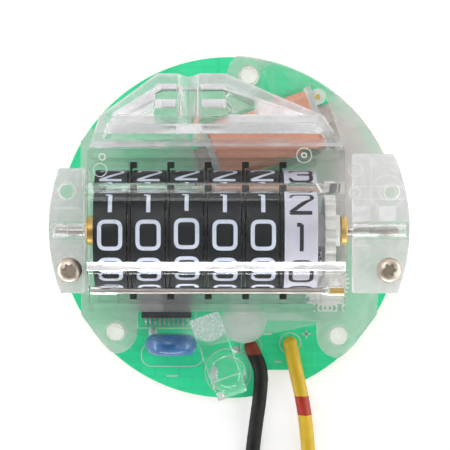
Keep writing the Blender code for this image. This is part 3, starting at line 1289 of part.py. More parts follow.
def along_y(name, loop, bottom, top):
    """A solid from an outline in X and Z, from one Y to another."""
    made = place(name, outline_mesh(name, [loop], top - bottom), None, CUTTERS)
    middle = Matrix.Translation((0, (bottom + top) / 2, 0))
    made.matrix_world = middle @ Matrix.Rotation(math.pi / 2, 4, "X")
    return made


def upper_hood(points, floor):
    """The part of the hood's outline above its rib."""
    return [(x, max(y, floor)) for x, y in points[2:]]


def make_hood_well(body, outer, rib_y):
    """The well above the rib: slanting panels that draw in to an opening, with a trough across it."""
    left, right = (HOOD_LEFT + HOOD_WIDTH * share for share in HOOD_WELL_X_SHARES)
    bottom, top = (HOOD_BOTTOM + HOOD_HEIGHT * share for share in HOOD_WELL_Y_SHARES)
    wall = HOOD_WELL_WALL
    low = HOOD_FRONT - HOOD_WELL_DEPTH
    outside = upper_hood(inset(outer, HOOD_WALL / 2), rib_y - HOOD_FOOT_WALL / 2)
    inside = upper_hood(inset(outer, HOOD_WALL), rib_y)
    grown = (left - wall, bottom - wall / 2, right + wall, top + wall / 2)
    join(body, tapered("well outside", outside, low, HOOD_FRONT - RUN_GAP * 2, grown))
    cut(body, tapered("well inside", inside, low - OVERRUN, HOOD_FRONT + OVERRUN, (left, bottom, right, top)))
    middle = HOOD_LEFT + HOOD_WIDTH * HOOD_TROUGH_SHARE
    half = HOOD_TROUGH_RADIUS + HOOD_TROUGH_WALL
    peak = HOOD_BOTTOM + HOOD_HEIGHT - HOOD_WALL
    bar = rectangle(middle - half, HOOD_FRONT - half - HOOD_TROUGH_WALL, middle + half, HOOD_FRONT - RUN_GAP * 3)
    join(body, along_y("trough", bar, rib_y - HOOD_FOOT_WALL / 2, peak))
    groove = circle(middle, HOOD_FRONT, HOOD_TROUGH_RADIUS, PIN_SIDES)
    cut(body, along_y("trough groove", groove, rib_y - HOOD_FOOT_WALL - OVERRUN, peak + HOOD_WALL + OVERRUN))


def make_hood():
    """The light hood: a clear frame round the motor end, with one rib across and a well above it."""
    outer = hood_points()
    inner = inset(outer, HOOD_WALL)
    body = plate("light_hood", [outer], COVER_FOOT, HOOD_FRONT, CLEAR, PARTS)
    cut(body, plate("hood space", [inner], COVER_FOOT - OVERRUN, HOOD_FRONT + OVERRUN))
    rib_y = HOOD_BOTTOM + HOOD_HEIGHT * HOOD_RIB_SHARE
    left = HOOD_LEFT + HOOD_WIDTH * HOOD_OUTLINE_SHARES[-1][0] + HOOD_WALL / 2
    right = HOOD_LEFT + HOOD_WIDTH * HOOD_OUTLINE_SHARES[2][0] - HOOD_WALL / 2
    rib = rectangle(left, rib_y - HOOD_FOOT_WALL, right, rib_y)
    join(body, plate("hood rib", [rib], COVER_FOOT + RUN_GAP, HOOD_FRONT - RUN_GAP))
    make_hood_well(body, outer, rib_y)
    over_coil = COIL_Z + COIL_HEIGHT / 2 + COIL_CLEARANCE
    cut(body, coil_space("hood over coil", COIL_CLEARANCE, 0, over_coil))
    for i, (x, y) in enumerate(bobbin_pin_places()):
        space = circle(x, y, BOBBIN_TAB_RADIUS + COIL_CLEARANCE, PIN_SIDES)
        cut(body, plate(f"hood over pin {i}", [space], 0, over_coil + BOBBIN_PIN_RISE))


def make_light_pipe():
    """The clear strip that leads the lamp's light up to the cover, with a slanting mirror face."""
    end = PIPE_LENGTH
    top = PIPE_THICK
    leg = PIPE_LEG_BOTTOM - PIPE_Z
    side = [
        (0, 0), (end - PIPE_LEG_THICK, 0), (end - PIPE_LEG_THICK, leg), (end, leg),
        (end, top - PIPE_MIRROR), (end - PIPE_MIRROR, top), (0, top),
    ]
    mesh = outline_mesh("light_pipe", [side], PIPE_WIDTH)
    made = place("light_pipe", mesh, CLEAR, PARTS)
    turn = Matrix.Rotation(math.radians(PIPE_DEGREES - 90), 4, "Z")
    upright = Matrix.Rotation(math.pi / 2, 4, "X")
    made.matrix_world = Matrix.Translation((PIPE_X, PIPE_Y, PIPE_Z)) @ turn @ upright


def make_chip():
    """The controller chip, with a row of gull-wing pins on each long side."""
    low = BOARD_THICK + SEAT_GAP + CHIP_STANDOFF
    body_outline = rectangle(CHIP_X - CHIP_LENGTH / 2, CHIP_Y - CHIP_WIDTH / 2,
                             CHIP_X + CHIP_LENGTH / 2, CHIP_Y + CHIP_WIDTH / 2)
    body = plate("controller_chip", [body_outline], low, low + CHIP_THICK, CHIP_GREY, PARTS)
    shoulder = low + CHIP_THICK / 2
    foot = low - CHIP_STANDOFF
    thick = CHIP_PIN_THICK
    for end, side in (("upper", 1), ("lower", -1)):
        root = CHIP_WIDTH / 2 - CHIP_STANDOFF
        bend = CHIP_WIDTH / 2 + CHIP_PIN_REACH - CHIP_PIN_FOOT
        toe = CHIP_WIDTH / 2 + CHIP_PIN_REACH
        section = [
            (root, shoulder), (bend - thick, shoulder), (bend - thick, foot), (toe, foot),
            (toe, foot + thick), (bend, foot + thick), (bend, shoulder + thick), (root, shoulder + thick),
        ]
        section = [(CHIP_Y + side * y, z) for y, z in section]
        for i in range(CHIP_PINS):
            middle = CHIP_X + (i - (CHIP_PINS - 1) / 2) * CHIP_PIN_PITCH
            join(body, disc(f"{end} pin {i}", [section], middle - CHIP_PIN_WIDTH / 2,
                            middle + CHIP_PIN_WIDTH / 2, y=0, z=0))


def make_crystal():
    """The quartz crystal, lying on the board on its two bent legs."""
    z = BOARD_THICK + SEAT_GAP + CRYSTAL_RADIUS
    right = CRYSTAL_X + CRYSTAL_LENGTH / 2
    can = circle(0, 0, CRYSTAL_RADIUS, PIN_SIDES)
    body = disc("quartz_crystal", [can], CRYSTAL_X - CRYSTAL_LENGTH / 2, right, STEEL, PARTS,
                y=CRYSTAL_Y, z=z)
    for i, side in enumerate((-1, 1)):
        y = CRYSTAL_Y + side * CRYSTAL_LEG_SPACING / 2
        leg = [
            (right - RUN_GAP, z - CRYSTAL_LEG_RADIUS),
            (right + CRYSTAL_LEG_LENGTH - 2 * CRYSTAL_LEG_RADIUS, z - CRYSTAL_LEG_RADIUS),
            (right + CRYSTAL_LEG_LENGTH - 2 * CRYSTAL_LEG_RADIUS, BOARD_THICK + SEAT_GAP),
            (right + CRYSTAL_LEG_LENGTH, BOARD_THICK + SEAT_GAP),
            (right + CRYSTAL_LEG_LENGTH, z + CRYSTAL_LEG_RADIUS),
            (right - RUN_GAP, z + CRYSTAL_LEG_RADIUS),
        ]
        mesh = outline_mesh(f"crystal leg {i}", [leg], 2 * CRYSTAL_LEG_RADIUS)
        made = place(f"crystal leg {i}", mesh, None, CUTTERS)
        made.matrix_world = Matrix.Translation((0, y, 0)) @ Matrix.Rotation(math.pi / 2, 4, "X")
        join(body, made)


def make_surge_disc():
    """The disc that takes surges, standing on its two legs."""
    z = BOARD_THICK + DISC_LIFT + DISC_RADIUS
    half = DISC_THICK / 2
    rim = DISC_RADIUS
    bevel = DISC_BEVEL
    profile = [
        (0, half), (rim - bevel, half), (rim - bevel * 0.3, half - bevel * 0.3), (rim, half - bevel),
        (rim, bevel - half), (rim - bevel * 0.3, bevel * 0.3 - half), (rim - bevel, -half), (0, -half),
    ]
    body = turned("surge_disc", profile, BLUE, (DISC_X, DISC_Y, z), along="Y", sides=24)
    for i, side in enumerate((-1, 1)):
        leg = circle(DISC_X + side * DISC_LEG_SPACING / 2, DISC_Y, LEG_RADIUS, WIRE_SIDES)
        join(body, plate(f"disc leg {i}", [leg], LEG_END, z))


def make_lamp():
    """The round lamp under the light pipe, with its flange and legs."""
    low = BOARD_THICK + SEAT_GAP
    dome = LAMP_HEIGHT - LAMP_RADIUS
    profile = [(LAMP_RADIUS * math.sin(a), dome + LAMP_RADIUS * math.cos(a))
               for a in (math.pi / 2 * i / 5 for i in range(6))]
    profile += [(LAMP_RADIUS, LAMP_FLANGE_THICK), (LAMP_FLANGE_RADIUS, LAMP_FLANGE_THICK),
                (LAMP_FLANGE_RADIUS, 0), (0, 0)]
    body = turned("indicator_lamp", profile, CLEAR, (LAMP_X, LAMP_Y, low), sides=24)
    for i, side in enumerate((-1, 1)):
        leg = circle(LAMP_X + side * LAMP_LEG_SPACING / 2, LAMP_Y, LEG_RADIUS, WIRE_SIDES)
        join(body, plate(f"lamp leg {i}", [leg], LEG_END, low + LAMP_FLANGE_THICK / 2))


def smooth_route(route):
    """Points along a smooth curve through a route's own points, a few to each stretch."""
    points = [Vector(point) * ROUTE_UNIT for point in route]
    ends = [2 * points[0] - points[1], *points, 2 * points[-1] - points[-2]]
    smooth = []
    for before, start, end, after in zip(ends, ends[1:], ends[2:], ends[3:]):
        for i in range(LEAD_STEPS):
            t = i / LEAD_STEPS
            smooth.append(
                (2 * start + (end - before) * t
                 + (2 * before - 5 * start + 4 * end - after) * t ** 2
                 + (3 * start - before - 3 * end + after) * t ** 3) / 2
            )
    smooth.append(points[-1])
    for point in smooth:
        point.z = max(point.z, LEAD_RADIUS)
    return smooth


def tube(name, points, radius, look, resolution):
    """A round tube along points, with closed ends."""
    curve = bpy.data.curves.new(name, "CURVE")
    curve.dimensions = "3D"
    curve.bevel_depth = radius
    curve.bevel_resolution = resolution
    curve.use_fill_caps = True
    spline = curve.splines.new("POLY")
    spline.points.add(len(points) - 1)
    for target, point in zip(spline.points, points):
        target.co = (*point, 1)
    place(name, curve_mesh(name, curve), look, PARTS)


def make_lead(colour, route, look):
    """A lead from its pad to its bare, tinned end."""
    points = smooth_route(route)
    tube(f"{colour}_lead", points, LEAD_RADIUS, look, 2)
    along = (points[-1] - points[-2]).normalized()
    start = points[-1] + along * SEAT_GAP
    bare = [start + along * LEAD_BARE_LENGTH * share for share in (0, 0.5, 1)]
    tube(f"{colour}_lead_end", bare, LEAD_BARE_RADIUS, TIN, 1)
    length = sum((b - a).length for a, b in zip(points, points[1:]))
    print(f"{colour} lead: {length / MM:.1f} mm of insulated wire")


def finish(body):
    """Round pieces are shaded smooth, and their edges stay sharp."""
    for made in body.objects:
        made.data.shade_smooth()
        made.data.set_sharp_from_angle(angle=math.radians(30))


def main():
    make_board()
    make_back_plate()
    make_cap("left_shaft_cap", -1, BLOCK_LEFT_FACE, BLOCK_LEFT_TOP)
    make_cap("right_shaft_cap", 1, CAP_RIGHT_FACE, BLOCK_RIGHT_TOP)
    make_cap_screw("left_cap_screw", -1)
    make_cap_screw("right_cap_screw", 1)
    make_shaft()
    make_collars()
    for index in range(DRUM_COUNT):
        make_drum(index)
    for index in range(DRUM_COUNT - 1):
        make_carrier(index)
        make_pinion(index)
    make_drive_gear()
    make_worm_shaft()
    make_rotor()
    make_stator()
    make_coil()
    make_front_cover()
    make_rod()
    make_hood()
    make_light_pipe()
    make_chip()
    make_crystal()
    make_surge_disc()
    make_lamp()
    make_lead("black", BLACK_ROUTE, BLACK_WIRE)
    make_lead("yellow", YELLOW_ROUTE, YELLOW_WIRE)
    finish(PARTS)


clear_scene()
PARTS = make_collection("hour meter")
CUTTERS = make_collection("cutters")
GREEN = material("board green", (0.03, 0.42, 0.22), 0.35)
CLEAR = material("clear plastic", (0.86, 0.9, 0.88), 0.06, clear=0.9)
FROSTED = material("frosted plastic", (0.82, 0.87, 0.85), 0.3, clear=0.7)
NYLON = material("natural nylon", (0.85, 0.85, 0.82), 0.4)
BLACK = material("black plastic", (0.02, 0.02, 0.024), 0.25)
WHITE = material("white plastic", (0.75, 0.74, 0.82), 0.3)
STEEL = material("steel", (0.6, 0.58, 0.55), 0.25, 1.0)
DARK_STEEL = material("soft iron", (0.3, 0.3, 0.3), 0.4, 1.0)
NICKEL = material("nickel", (0.62, 0.58, 0.52), 0.22, 1.0)
BRASS = material("brass", (0.62, 0.4, 0.13), 0.25, 1.0)
COPPER = material("copper", (0.68, 0.3, 0.18), 0.3, 0.9)
TIN = material("tinned copper", (0.65, 0.65, 0.66), 0.3, 1.0)
BLUE = material("blue epoxy", (0.03, 0.11, 0.3), 0.35)
CHIP_GREY = material("chip grey", (0.05, 0.05, 0.055), 0.5)
BLACK_WIRE = material("black wire", (0.015, 0.015, 0.014), 0.4)
YELLOW_WIRE = material("yellow wire", (0.7, 0.45, 0.03), 0.35)
main()
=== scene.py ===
"""Looks for the hour meter movement: its finishes, digits, board detail, leads and studio stage."""

import json
import math

import bmesh
import bpy
from bpy.props import FloatProperty, FloatVectorProperty, PointerProperty
from mathutils import Matrix, Vector


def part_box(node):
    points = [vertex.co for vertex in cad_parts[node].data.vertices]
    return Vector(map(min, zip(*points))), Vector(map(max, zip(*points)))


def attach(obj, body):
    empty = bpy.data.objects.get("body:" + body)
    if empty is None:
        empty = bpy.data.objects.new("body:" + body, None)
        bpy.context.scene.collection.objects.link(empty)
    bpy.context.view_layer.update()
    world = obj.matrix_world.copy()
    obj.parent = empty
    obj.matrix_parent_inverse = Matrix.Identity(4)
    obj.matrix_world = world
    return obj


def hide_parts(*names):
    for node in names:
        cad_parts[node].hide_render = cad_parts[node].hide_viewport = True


bl_info = {
    "name": "Hour meter movement",
    "version": (1, 0, 0),
    "blender": (4, 5, 0),
    "location": "View3D > Sidebar > Meter",
    "description": "Builds the finishes and fine pieces of an hour meter movement",
    "category": "Object",
}

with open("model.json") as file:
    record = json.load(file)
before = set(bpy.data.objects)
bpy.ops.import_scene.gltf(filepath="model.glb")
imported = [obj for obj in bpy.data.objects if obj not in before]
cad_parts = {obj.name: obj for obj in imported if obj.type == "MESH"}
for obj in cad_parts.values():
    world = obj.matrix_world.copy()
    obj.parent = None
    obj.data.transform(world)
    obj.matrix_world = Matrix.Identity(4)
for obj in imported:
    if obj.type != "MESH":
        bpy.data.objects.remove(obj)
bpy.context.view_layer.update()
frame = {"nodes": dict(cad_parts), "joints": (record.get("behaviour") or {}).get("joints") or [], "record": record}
MM = 0.001


def linear(red, green, blue):
    """A screen colour, 0 to 255, as the linear colour that a shader takes."""
    shares = (value / 255 for value in (red, green, blue))
    return tuple(s / 12.92 if s <= 0.04045 else ((s + 0.055) / 1.055) ** 2.4 for s in shares)


def length(name, description, default):
    return FloatProperty(name=name, description=description, default=default, unit="LENGTH",
                         precision=6, min=0.0)


def colour(name, description, red, green, blue):
    return FloatVectorProperty(name=name, description=description, subtype="COLOR", size=3,
                               min=0.0, max=1.0, default=linear(red, green, blue))


class MeterSizes(bpy.types.PropertyGroup):
    edge: length("Edge rounding", "Width of the rounding on moulded edges", 0.12 * MM)
    fine_edge: length("Fine rounding", "Width of the rounding on small pieces", 0.05 * MM)
    digit_width: length("Digit width", "Width of a digit on a drum", 3.3 * MM)
    digit_height: length("Digit height", "Height of a digit round a drum", 4.1 * MM)
    digit_stroke: length("Digit stroke", "Width of a digit's line", 0.53 * MM)
    ink: length("Ink", "How far the digits stand off the drum", 0.012 * MM)
    silk: length("Legend", "Thickness of the white legend on the board", 0.02 * MM)
    lead: length("Lead", "Diameter of an insulated lead", 2.0 * MM)


class MeterColours(bpy.types.PropertyGroup):
    board: colour("Board", "Solder mask on the board", 66, 252, 180)
    black: colour("Black drums", "Black drum plastic", 30, 31, 34)
    white: colour("White drum", "White drum plastic", 214, 211, 226)
    pale_ink: colour("Pale digits", "Digits on the black drums", 222, 228, 246)
    dark_ink: colour("Dark digits", "Digits on the white drum", 30, 30, 34)
    copper: colour("Copper", "Enamelled winding wire", 240, 178, 152)
    yellow: colour("Yellow lead", "Yellow lead covering", 228, 188, 42)
    red: colour("Red mark", "Band on the yellow lead", 178, 46, 26)
    blue: colour("Blue coat", "Coat of the surge disc", 52, 104, 160)


class StageSettings(bpy.types.PropertyGroup):
    distance: length("Camera distance", "Camera above the floor", 0.28)
    camera_x: FloatProperty(name="Camera X", description="Camera to the side", default=-0.563 * MM, unit="LENGTH")
    camera_y: FloatProperty(name="Camera Y", description="Camera up the face", default=0.352 * MM, unit="LENGTH")
    angle: FloatProperty(name="View", description="Camera's angle of view", subtype="ANGLE",
                         default=math.radians(12.99))
    key: FloatProperty(name="Key light", description="Power of the large soft lamp", default=0.75, subtype="POWER")
    sides: FloatProperty(name="Side lights", description="Power of each strip lamp", default=0.22, subtype="POWER")
    overhead: FloatProperty(name="Overhead", description="Share of the sky's light that comes from behind the camera",
                            default=0.06)
    sky: FloatProperty(name="Sky", description="Strength of the even light all round", default=0.42)


# Node tools

def plug(tree, target, inputs):
    """Puts values or links on a node's inputs."""
    for name, value in inputs.items():
        if isinstance(value, bpy.types.NodeSocket):
            tree.links.new(value, target.inputs[name])
        else:
            target.inputs[name].default_value = value


def node(tree, kind, inputs=None, **settings):
    """Adds a node, with its settings and with values or links on its inputs."""
    made = tree.nodes.new(kind)
    for name, value in settings.items():
        setattr(made, name, value)
    plug(tree, made, inputs or {})
    return made


def maths(tree, operation, *values, clamp=False):
    """The result of one sum."""
    made = node(tree, "ShaderNodeMath", dict(enumerate(values)), operation=operation, use_clamp=clamp)
    return made.outputs[0]


def between(tree, value, low, high, to_low=0.0, to_high=1.0, **settings):
    """A value between two others, moved to lie between two new ones."""
    inputs = {"Value": value, "From Min": low, "From Max": high, "To Min": to_low, "To Max": to_high}
    return node(tree, "ShaderNodeMapRange", inputs, **settings).outputs[0]


def object_place(tree):
    """Where a point lies on its own object."""
    return node(tree, "ShaderNodeTexCoord").outputs["Object"]


def blank(name):
    """A material with only a Principled shader and its output."""
    made = bpy.data.materials.new(f"{name} finish")
    made.use_nodes = True
    return made, made.node_tree, made.node_tree.nodes["Principled BSDF"]


def new_group(name, inputs, outputs):
    """An empty shader group with float inputs and outputs. A name that ends in Vector or Colour has that type."""
    group = bpy.data.node_groups.new(name, "ShaderNodeTree")
    for in_out, entries in (("INPUT", inputs), ("OUTPUT", outputs)):
        for entry in entries:
            label, default = entry if isinstance(entry, tuple) else (entry, None)
            kind = "NodeSocketFloat"
            if label.endswith("Vector"):
                kind = "NodeSocketVector"
            if label.endswith("Colour"):
                kind = "NodeSocketColor"
            socket = group.interface.new_socket(name=label, in_out=in_out, socket_type=kind)
            if default is not None:
                socket.default_value = default
    return group, node(group, "NodeGroupInput"), node(group, "NodeGroupOutput")


def grain_group():
    """Moulded grain: a fine even bump, and a mask of its peaks."""
    group, into, out = new_group("moulded grain", [("Scale", 900.0)], ["Height", "Mask"])
    noise = node(group, "ShaderNodeTexNoise", {"Vector": object_place(group), "Scale": into.outputs["Scale"],
                                               "Detail": 3.0, "Roughness": 0.6}).outputs["Fac"]
    plug(group, out, {"Height": noise, "Mask": between(group, noise, 0.45, 0.7)})
    return group


def handled_group():
    """Roughness that varies as on a handled surface: broad smears and a few finer marks."""
    group, into, out = new_group("handled roughness", [("Base", 0.2), ("Spread", 0.1), ("Scale", 120.0)],
                                 ["Roughness", "Mask"])
    broad = node(group, "ShaderNodeTexNoise", {"Vector": object_place(group), "Scale": into.outputs["Scale"],
                                               "Detail": 4.0, "Distortion": 1.2})
    mask = between(group, broad.outputs["Fac"], 0.42, 0.68)
    uneven = maths(group, "MULTIPLY_ADD", mask, into.outputs["Spread"], into.outputs["Base"])
    plug(group, out, {"Roughness": uneven, "Mask": mask})
    return group


def lines_group():
    """Fine parallel lines along a vector's X, as tool marks or wound wire have."""
    group, into, out = new_group("fine lines", ["Vector", ("Scale", 2000.0), ("Wander", 0.4)],
                                 ["Height", "Mask"])
    wave = node(group, "ShaderNodeTexWave", {"Vector": into.outputs["Vector"], "Scale": into.outputs["Scale"],
                                             "Distortion": into.outputs["Wander"], "Detail": 1.0,
                                             "Detail Scale": 0.6}, bands_direction="X").outputs["Fac"]
    plug(group, out, {"Height": wave, "Mask": between(group, wave, 0.1, 0.6)})
    return group


def patch_group():
    """One inside a soft-edged oval about a centre, zero outside it."""
    group, into, out = new_group("soft patch", ["Centre Vector", "Half Size Vector", ("Softness", 0.3)],
                                 ["Mask"])
    reach = object_place(group)
    for entry, operation in (("Centre Vector", "SUBTRACT"), ("Half Size Vector", "DIVIDE")):
        reach = node(group, "ShaderNodeVectorMath", {0: reach, 1: into.outputs[entry]},
                     operation=operation).outputs[0]
    far = node(group, "ShaderNodeVectorMath", {0: reach}, operation="LENGTH").outputs["Value"]
    inner = maths(group, "SUBTRACT", 1.0, into.outputs["Softness"])
    plug(group, out, {"Mask": between(group, far, 1.0, inner, interpolation_type="SMOOTHSTEP")})
    return group


GROUPS = {"moulded grain": grain_group, "handled roughness": handled_group, "fine lines": lines_group,
          "soft patch": patch_group}


def effect(tree, name, inputs=None):
    """Places one of the shared effects, and builds it the first time."""
    group = bpy.data.node_groups.get(name) or GROUPS[name]()
    return node(tree, "ShaderNodeGroup", inputs, node_tree=group)


def bump(tree, shader, height, strength, distance):
    made = node(tree, "ShaderNodeBump", {"Height": height, "Strength": strength, "Distance": distance})
    plug(tree, shader, {"Normal": made.outputs["Normal"]})


def blended(tree, mask, first, second):
    """A colour between two others by a mask."""
    colours = (value if isinstance(value, bpy.types.NodeSocket) else (*value, 1) for value in (first, second))
    mix = node(tree, "ShaderNodeMix", {"Factor": mask, **dict(zip((6, 7), colours))}, data_type="RGBA")
    return mix.outputs[2]


def shade(colour_value, share):
    return tuple(min(1.0, part * share) for part in colour_value)


# Finishes

PLASTIC_IOR = 1.54
RIPPLE_DEPTH = 0.0015 * MM
SPECK_SCALE = 4200.0
COIL_DEGREES = 20.0


def worn_look(tree, shader, base, dark, worn_inputs, more=None):
    """Puts an uneven roughness on a shader, and a colour that darkens with it. Returns the colour."""
    worn = effect(tree, "handled roughness", worn_inputs)
    tint = blended(tree, worn.outputs["Mask"], base, shade(base, dark))
    plug(tree, shader, {"Base Color": tint, "Roughness": worn.outputs["Roughness"], **(more or {})})
    return tint


def plastic(name, base, roughness, grain=900.0, grain_depth=0.01 * MM, spread=0.12, gloss=0.5):
    """Moulded opaque plastic, slightly uneven in colour and gloss."""
    made, tree, shader = blank(name)
    worn_look(tree, shader, base, 0.88, {"Base": roughness, "Spread": spread},
              {"Specular IOR Level": gloss, "Coat Roughness": 0.08})
    fine = effect(tree, "moulded grain", {"Scale": grain})
    bump(tree, shader, fine.outputs["Height"], 0.25, grain_depth)
    return made


def metal(name, base, roughness, turned=(1, 0, 0), scale=1500.0, depth=0.004 * MM, metallic=1.0):
    """Metal with fine tool marks round an axis, and a little tarnish."""
    made, tree, shader = blank(name)
    axis = Vector((1, 0, 0)).rotation_difference(Vector(turned)).to_euler()
    aligned = node(tree, "ShaderNodeMapping", {"Vector": object_place(tree),
                                               "Rotation": tuple(-a for a in axis)})
    marks = effect(tree, "fine lines", {"Vector": aligned.outputs[0], "Scale": scale, "Wander": 0.8})
    worn_look(tree, shader, base, 0.8, {"Base": roughness, "Spread": 0.1, "Scale": 260.0},
              {"Metallic": metallic})
    bump(tree, shader, marks.outputs["Height"], 0.35, depth)
    return made


def clear(name, tint, roughness, haze, haze_colour=(0.86, 0.9, 0.9), spread=0.03, shadow=0.9, patches=()):
    """Clear moulded plastic. Haze is the share that scatters light instead of passing it straight.

    Shadow is the share of lamp light that each face lets through. Each patch is a centre and a half size in
    millimetres, its extra haze, which may be below zero, its softness, and whether fine specks break it up.
    """
    made, tree, shader = blank(name)
    worn = effect(tree, "handled roughness", {"Base": roughness, "Spread": spread, "Scale": 160.0})
    ripples = effect(tree, "moulded grain", {"Scale": 140.0})
    plug(tree, shader, {"Base Color": (*tint, 1), "Roughness": worn.outputs["Roughness"], "IOR": PLASTIC_IOR})
    shader.inputs["Transmission Weight"].default_value = 1.0
    bump(tree, shader, ripples.outputs["Height"], 0.2, RIPPLE_DEPTH)
    scatter = node(tree, "ShaderNodeBsdfDiffuse", {"Color": (*haze_colour, 1)})
    through = node(tree, "ShaderNodeBsdfTranslucent", {"Color": (*haze_colour, 1)})
    milk = node(tree, "ShaderNodeMixShader", {0: 0.5, 1: scatter.outputs[0], 2: through.outputs[0]})
    share = maths(tree, "MULTIPLY_ADD", worn.outputs["Mask"], haze * 0.5, haze * 0.75)
    for centre, half_size, extra, softness, specks in patches:
        patch = effect(tree, "soft patch", {"Centre Vector": Vector(centre) * MM, "Softness": softness,
                                            "Half Size Vector": Vector(half_size) * MM})
        mask = patch.outputs["Mask"]
        if specks:
            frost = effect(tree, "moulded grain", {"Scale": SPECK_SCALE})
            mask = maths(tree, "MULTIPLY", mask, frost.outputs["Mask"])
        share = maths(tree, "MULTIPLY_ADD", mask, extra, share, clamp=True)
    cloudy = node(tree, "ShaderNodeMixShader", {0: share, 1: shader.outputs[0], 2: milk.outputs[0]})
    path = node(tree, "ShaderNodeLightPath")
    open_way = node(tree, "ShaderNodeBsdfTransparent", {"Color": (*shade(tint, shadow), 1)})
    shown = node(tree, "ShaderNodeMixShader", {0: path.outputs["Is Shadow Ray"], 1: cloudy.outputs[0],
                                               2: open_way.outputs[0]})
    plug(tree, tree.nodes["Material Output"], {"Surface": shown.outputs[0]})
    return made


def board_finish(name, base):
    """Green solder mask over faint copper traces."""
    made, tree, shader = blank(name)
    place = object_place(tree)
    weave = node(tree, "ShaderNodeTexBrick", {"Vector": place, "Scale": 260.0, "Mortar Size": 0.06,
                                              "Mortar Smooth": 0.3, "Bias": 0.0, "Brick Width": 0.9,
                                              "Row Height": 0.42})
    areas = node(tree, "ShaderNodeTexVoronoi", {"Vector": place, "Scale": 170.0}, distance="CHEBYCHEV",
                 feature="F1").outputs["Distance"]
    over_copper = blended(tree, between(tree, areas, 0.40, 0.46), base, shade(base, 0.9))
    worn = effect(tree, "handled roughness", {"Base": 0.28, "Spread": 0.12})
    plug(tree, shader, {"Base Color": blended(tree, weave.outputs["Fac"], over_copper, shade(base, 0.95)),
                        "Roughness": worn.outputs["Roughness"], "Coat Weight": 0.3, "Coat Roughness": 0.12})
    bump(tree, shader, areas, 0.15, 0.01 * MM)
    return made


def winding_finish(name, base):
    """Enamelled copper wire, wound in close turns round the coil's tilted axis, with painted shade in the grooves
    between turns.
    """
    made, tree, shader = blank(name)
    aligned = node(tree, "ShaderNodeMapping", {"Vector": object_place(tree),
                                               "Rotation": (0, 0, -math.radians(COIL_DEGREES))})
    turns, layers = (effect(tree, "fine lines", {"Vector": aligned.outputs[0], "Scale": scale, "Wander": wander})
                     for scale, wander in ((2600.0, 1.2), (330.0, 5.0)))
    # Painted shade: the copper is darkened to 0.74 where the turns' bump is lowest, in the grooves between turns.
    tint = blended(tree, turns.outputs["Mask"], shade(base, 0.74), base)
    plug(tree, shader, {"Base Color": blended(tree, layers.outputs["Mask"], shade(base, 0.86), tint),
                        "Metallic": 0.3, "Roughness": 0.38})
    bump(tree, shader, turns.outputs["Height"], 0.5, 0.02 * MM)
    return made


def lead_finish(name, base, mark, low, high, roughness=0.3, gloss=0.5):
    """Smooth lead covering, with a band of another colour between two places along Y."""
    made, tree, shader = blank(name)
    along = node(tree, "ShaderNodeSeparateXYZ", {0: object_place(tree)}).outputs["Y"]
    fine = effect(tree, "moulded grain", {"Scale": 700.0})
    wobble = maths(tree, "MULTIPLY_ADD", fine.outputs["Mask"], 0.15 * MM, along)
    inside = maths(tree, "MULTIPLY", maths(tree, "GREATER_THAN", wobble, low),
                   maths(tree, "LESS_THAN", wobble, high))
    tint = worn_look(tree, shader, base, 0.86, {"Base": roughness, "Spread": 0.15, "Scale": 300.0},
                     {"Specular IOR Level": gloss})
    plug(tree, shader, {"Base Color": blended(tree, inside, tint, mark)})
    bump(tree, shader, fine.outputs["Height"], 0.2, 0.01 * MM)
    return made


def enamel_finish(name, base):
    """Dipped epoxy coat, glossy with orange peel, its blue lighter on the raised spots of the peel."""
    made, tree, shader = blank(name)
    peel = effect(tree, "moulded grain", {"Scale": 420.0})
    worn = effect(tree, "handled roughness", {"Base": 0.22, "Spread": 0.12, "Scale": 220.0})
    # The blue is made a quarter lighter where the peel's grain is highest.
    plug(tree, shader, {"Base Color": blended(tree, peel.outputs["Mask"], base, shade(base, 1.25)),
                        "Roughness": worn.outputs["Roughness"], "Coat Weight": 0.4})
    bump(tree, shader, peel.outputs["Height"], 0.4, 0.04 * MM)
    return made


def ink_finish(name, base):
    """Pad-printed ink with a thin, slightly broken film."""
    made, tree, shader = blank(name)
    film = effect(tree, "moulded grain", {"Scale": 1500.0})
    worn = effect(tree, "handled roughness", {"Base": 0.38, "Spread": 0.12, "Scale": 400.0})
    plug(tree, shader, {"Base Color": blended(tree, film.outputs["Mask"], base, shade(base, 0.86)),
                        "Roughness": worn.outputs["Roughness"]})
    return made


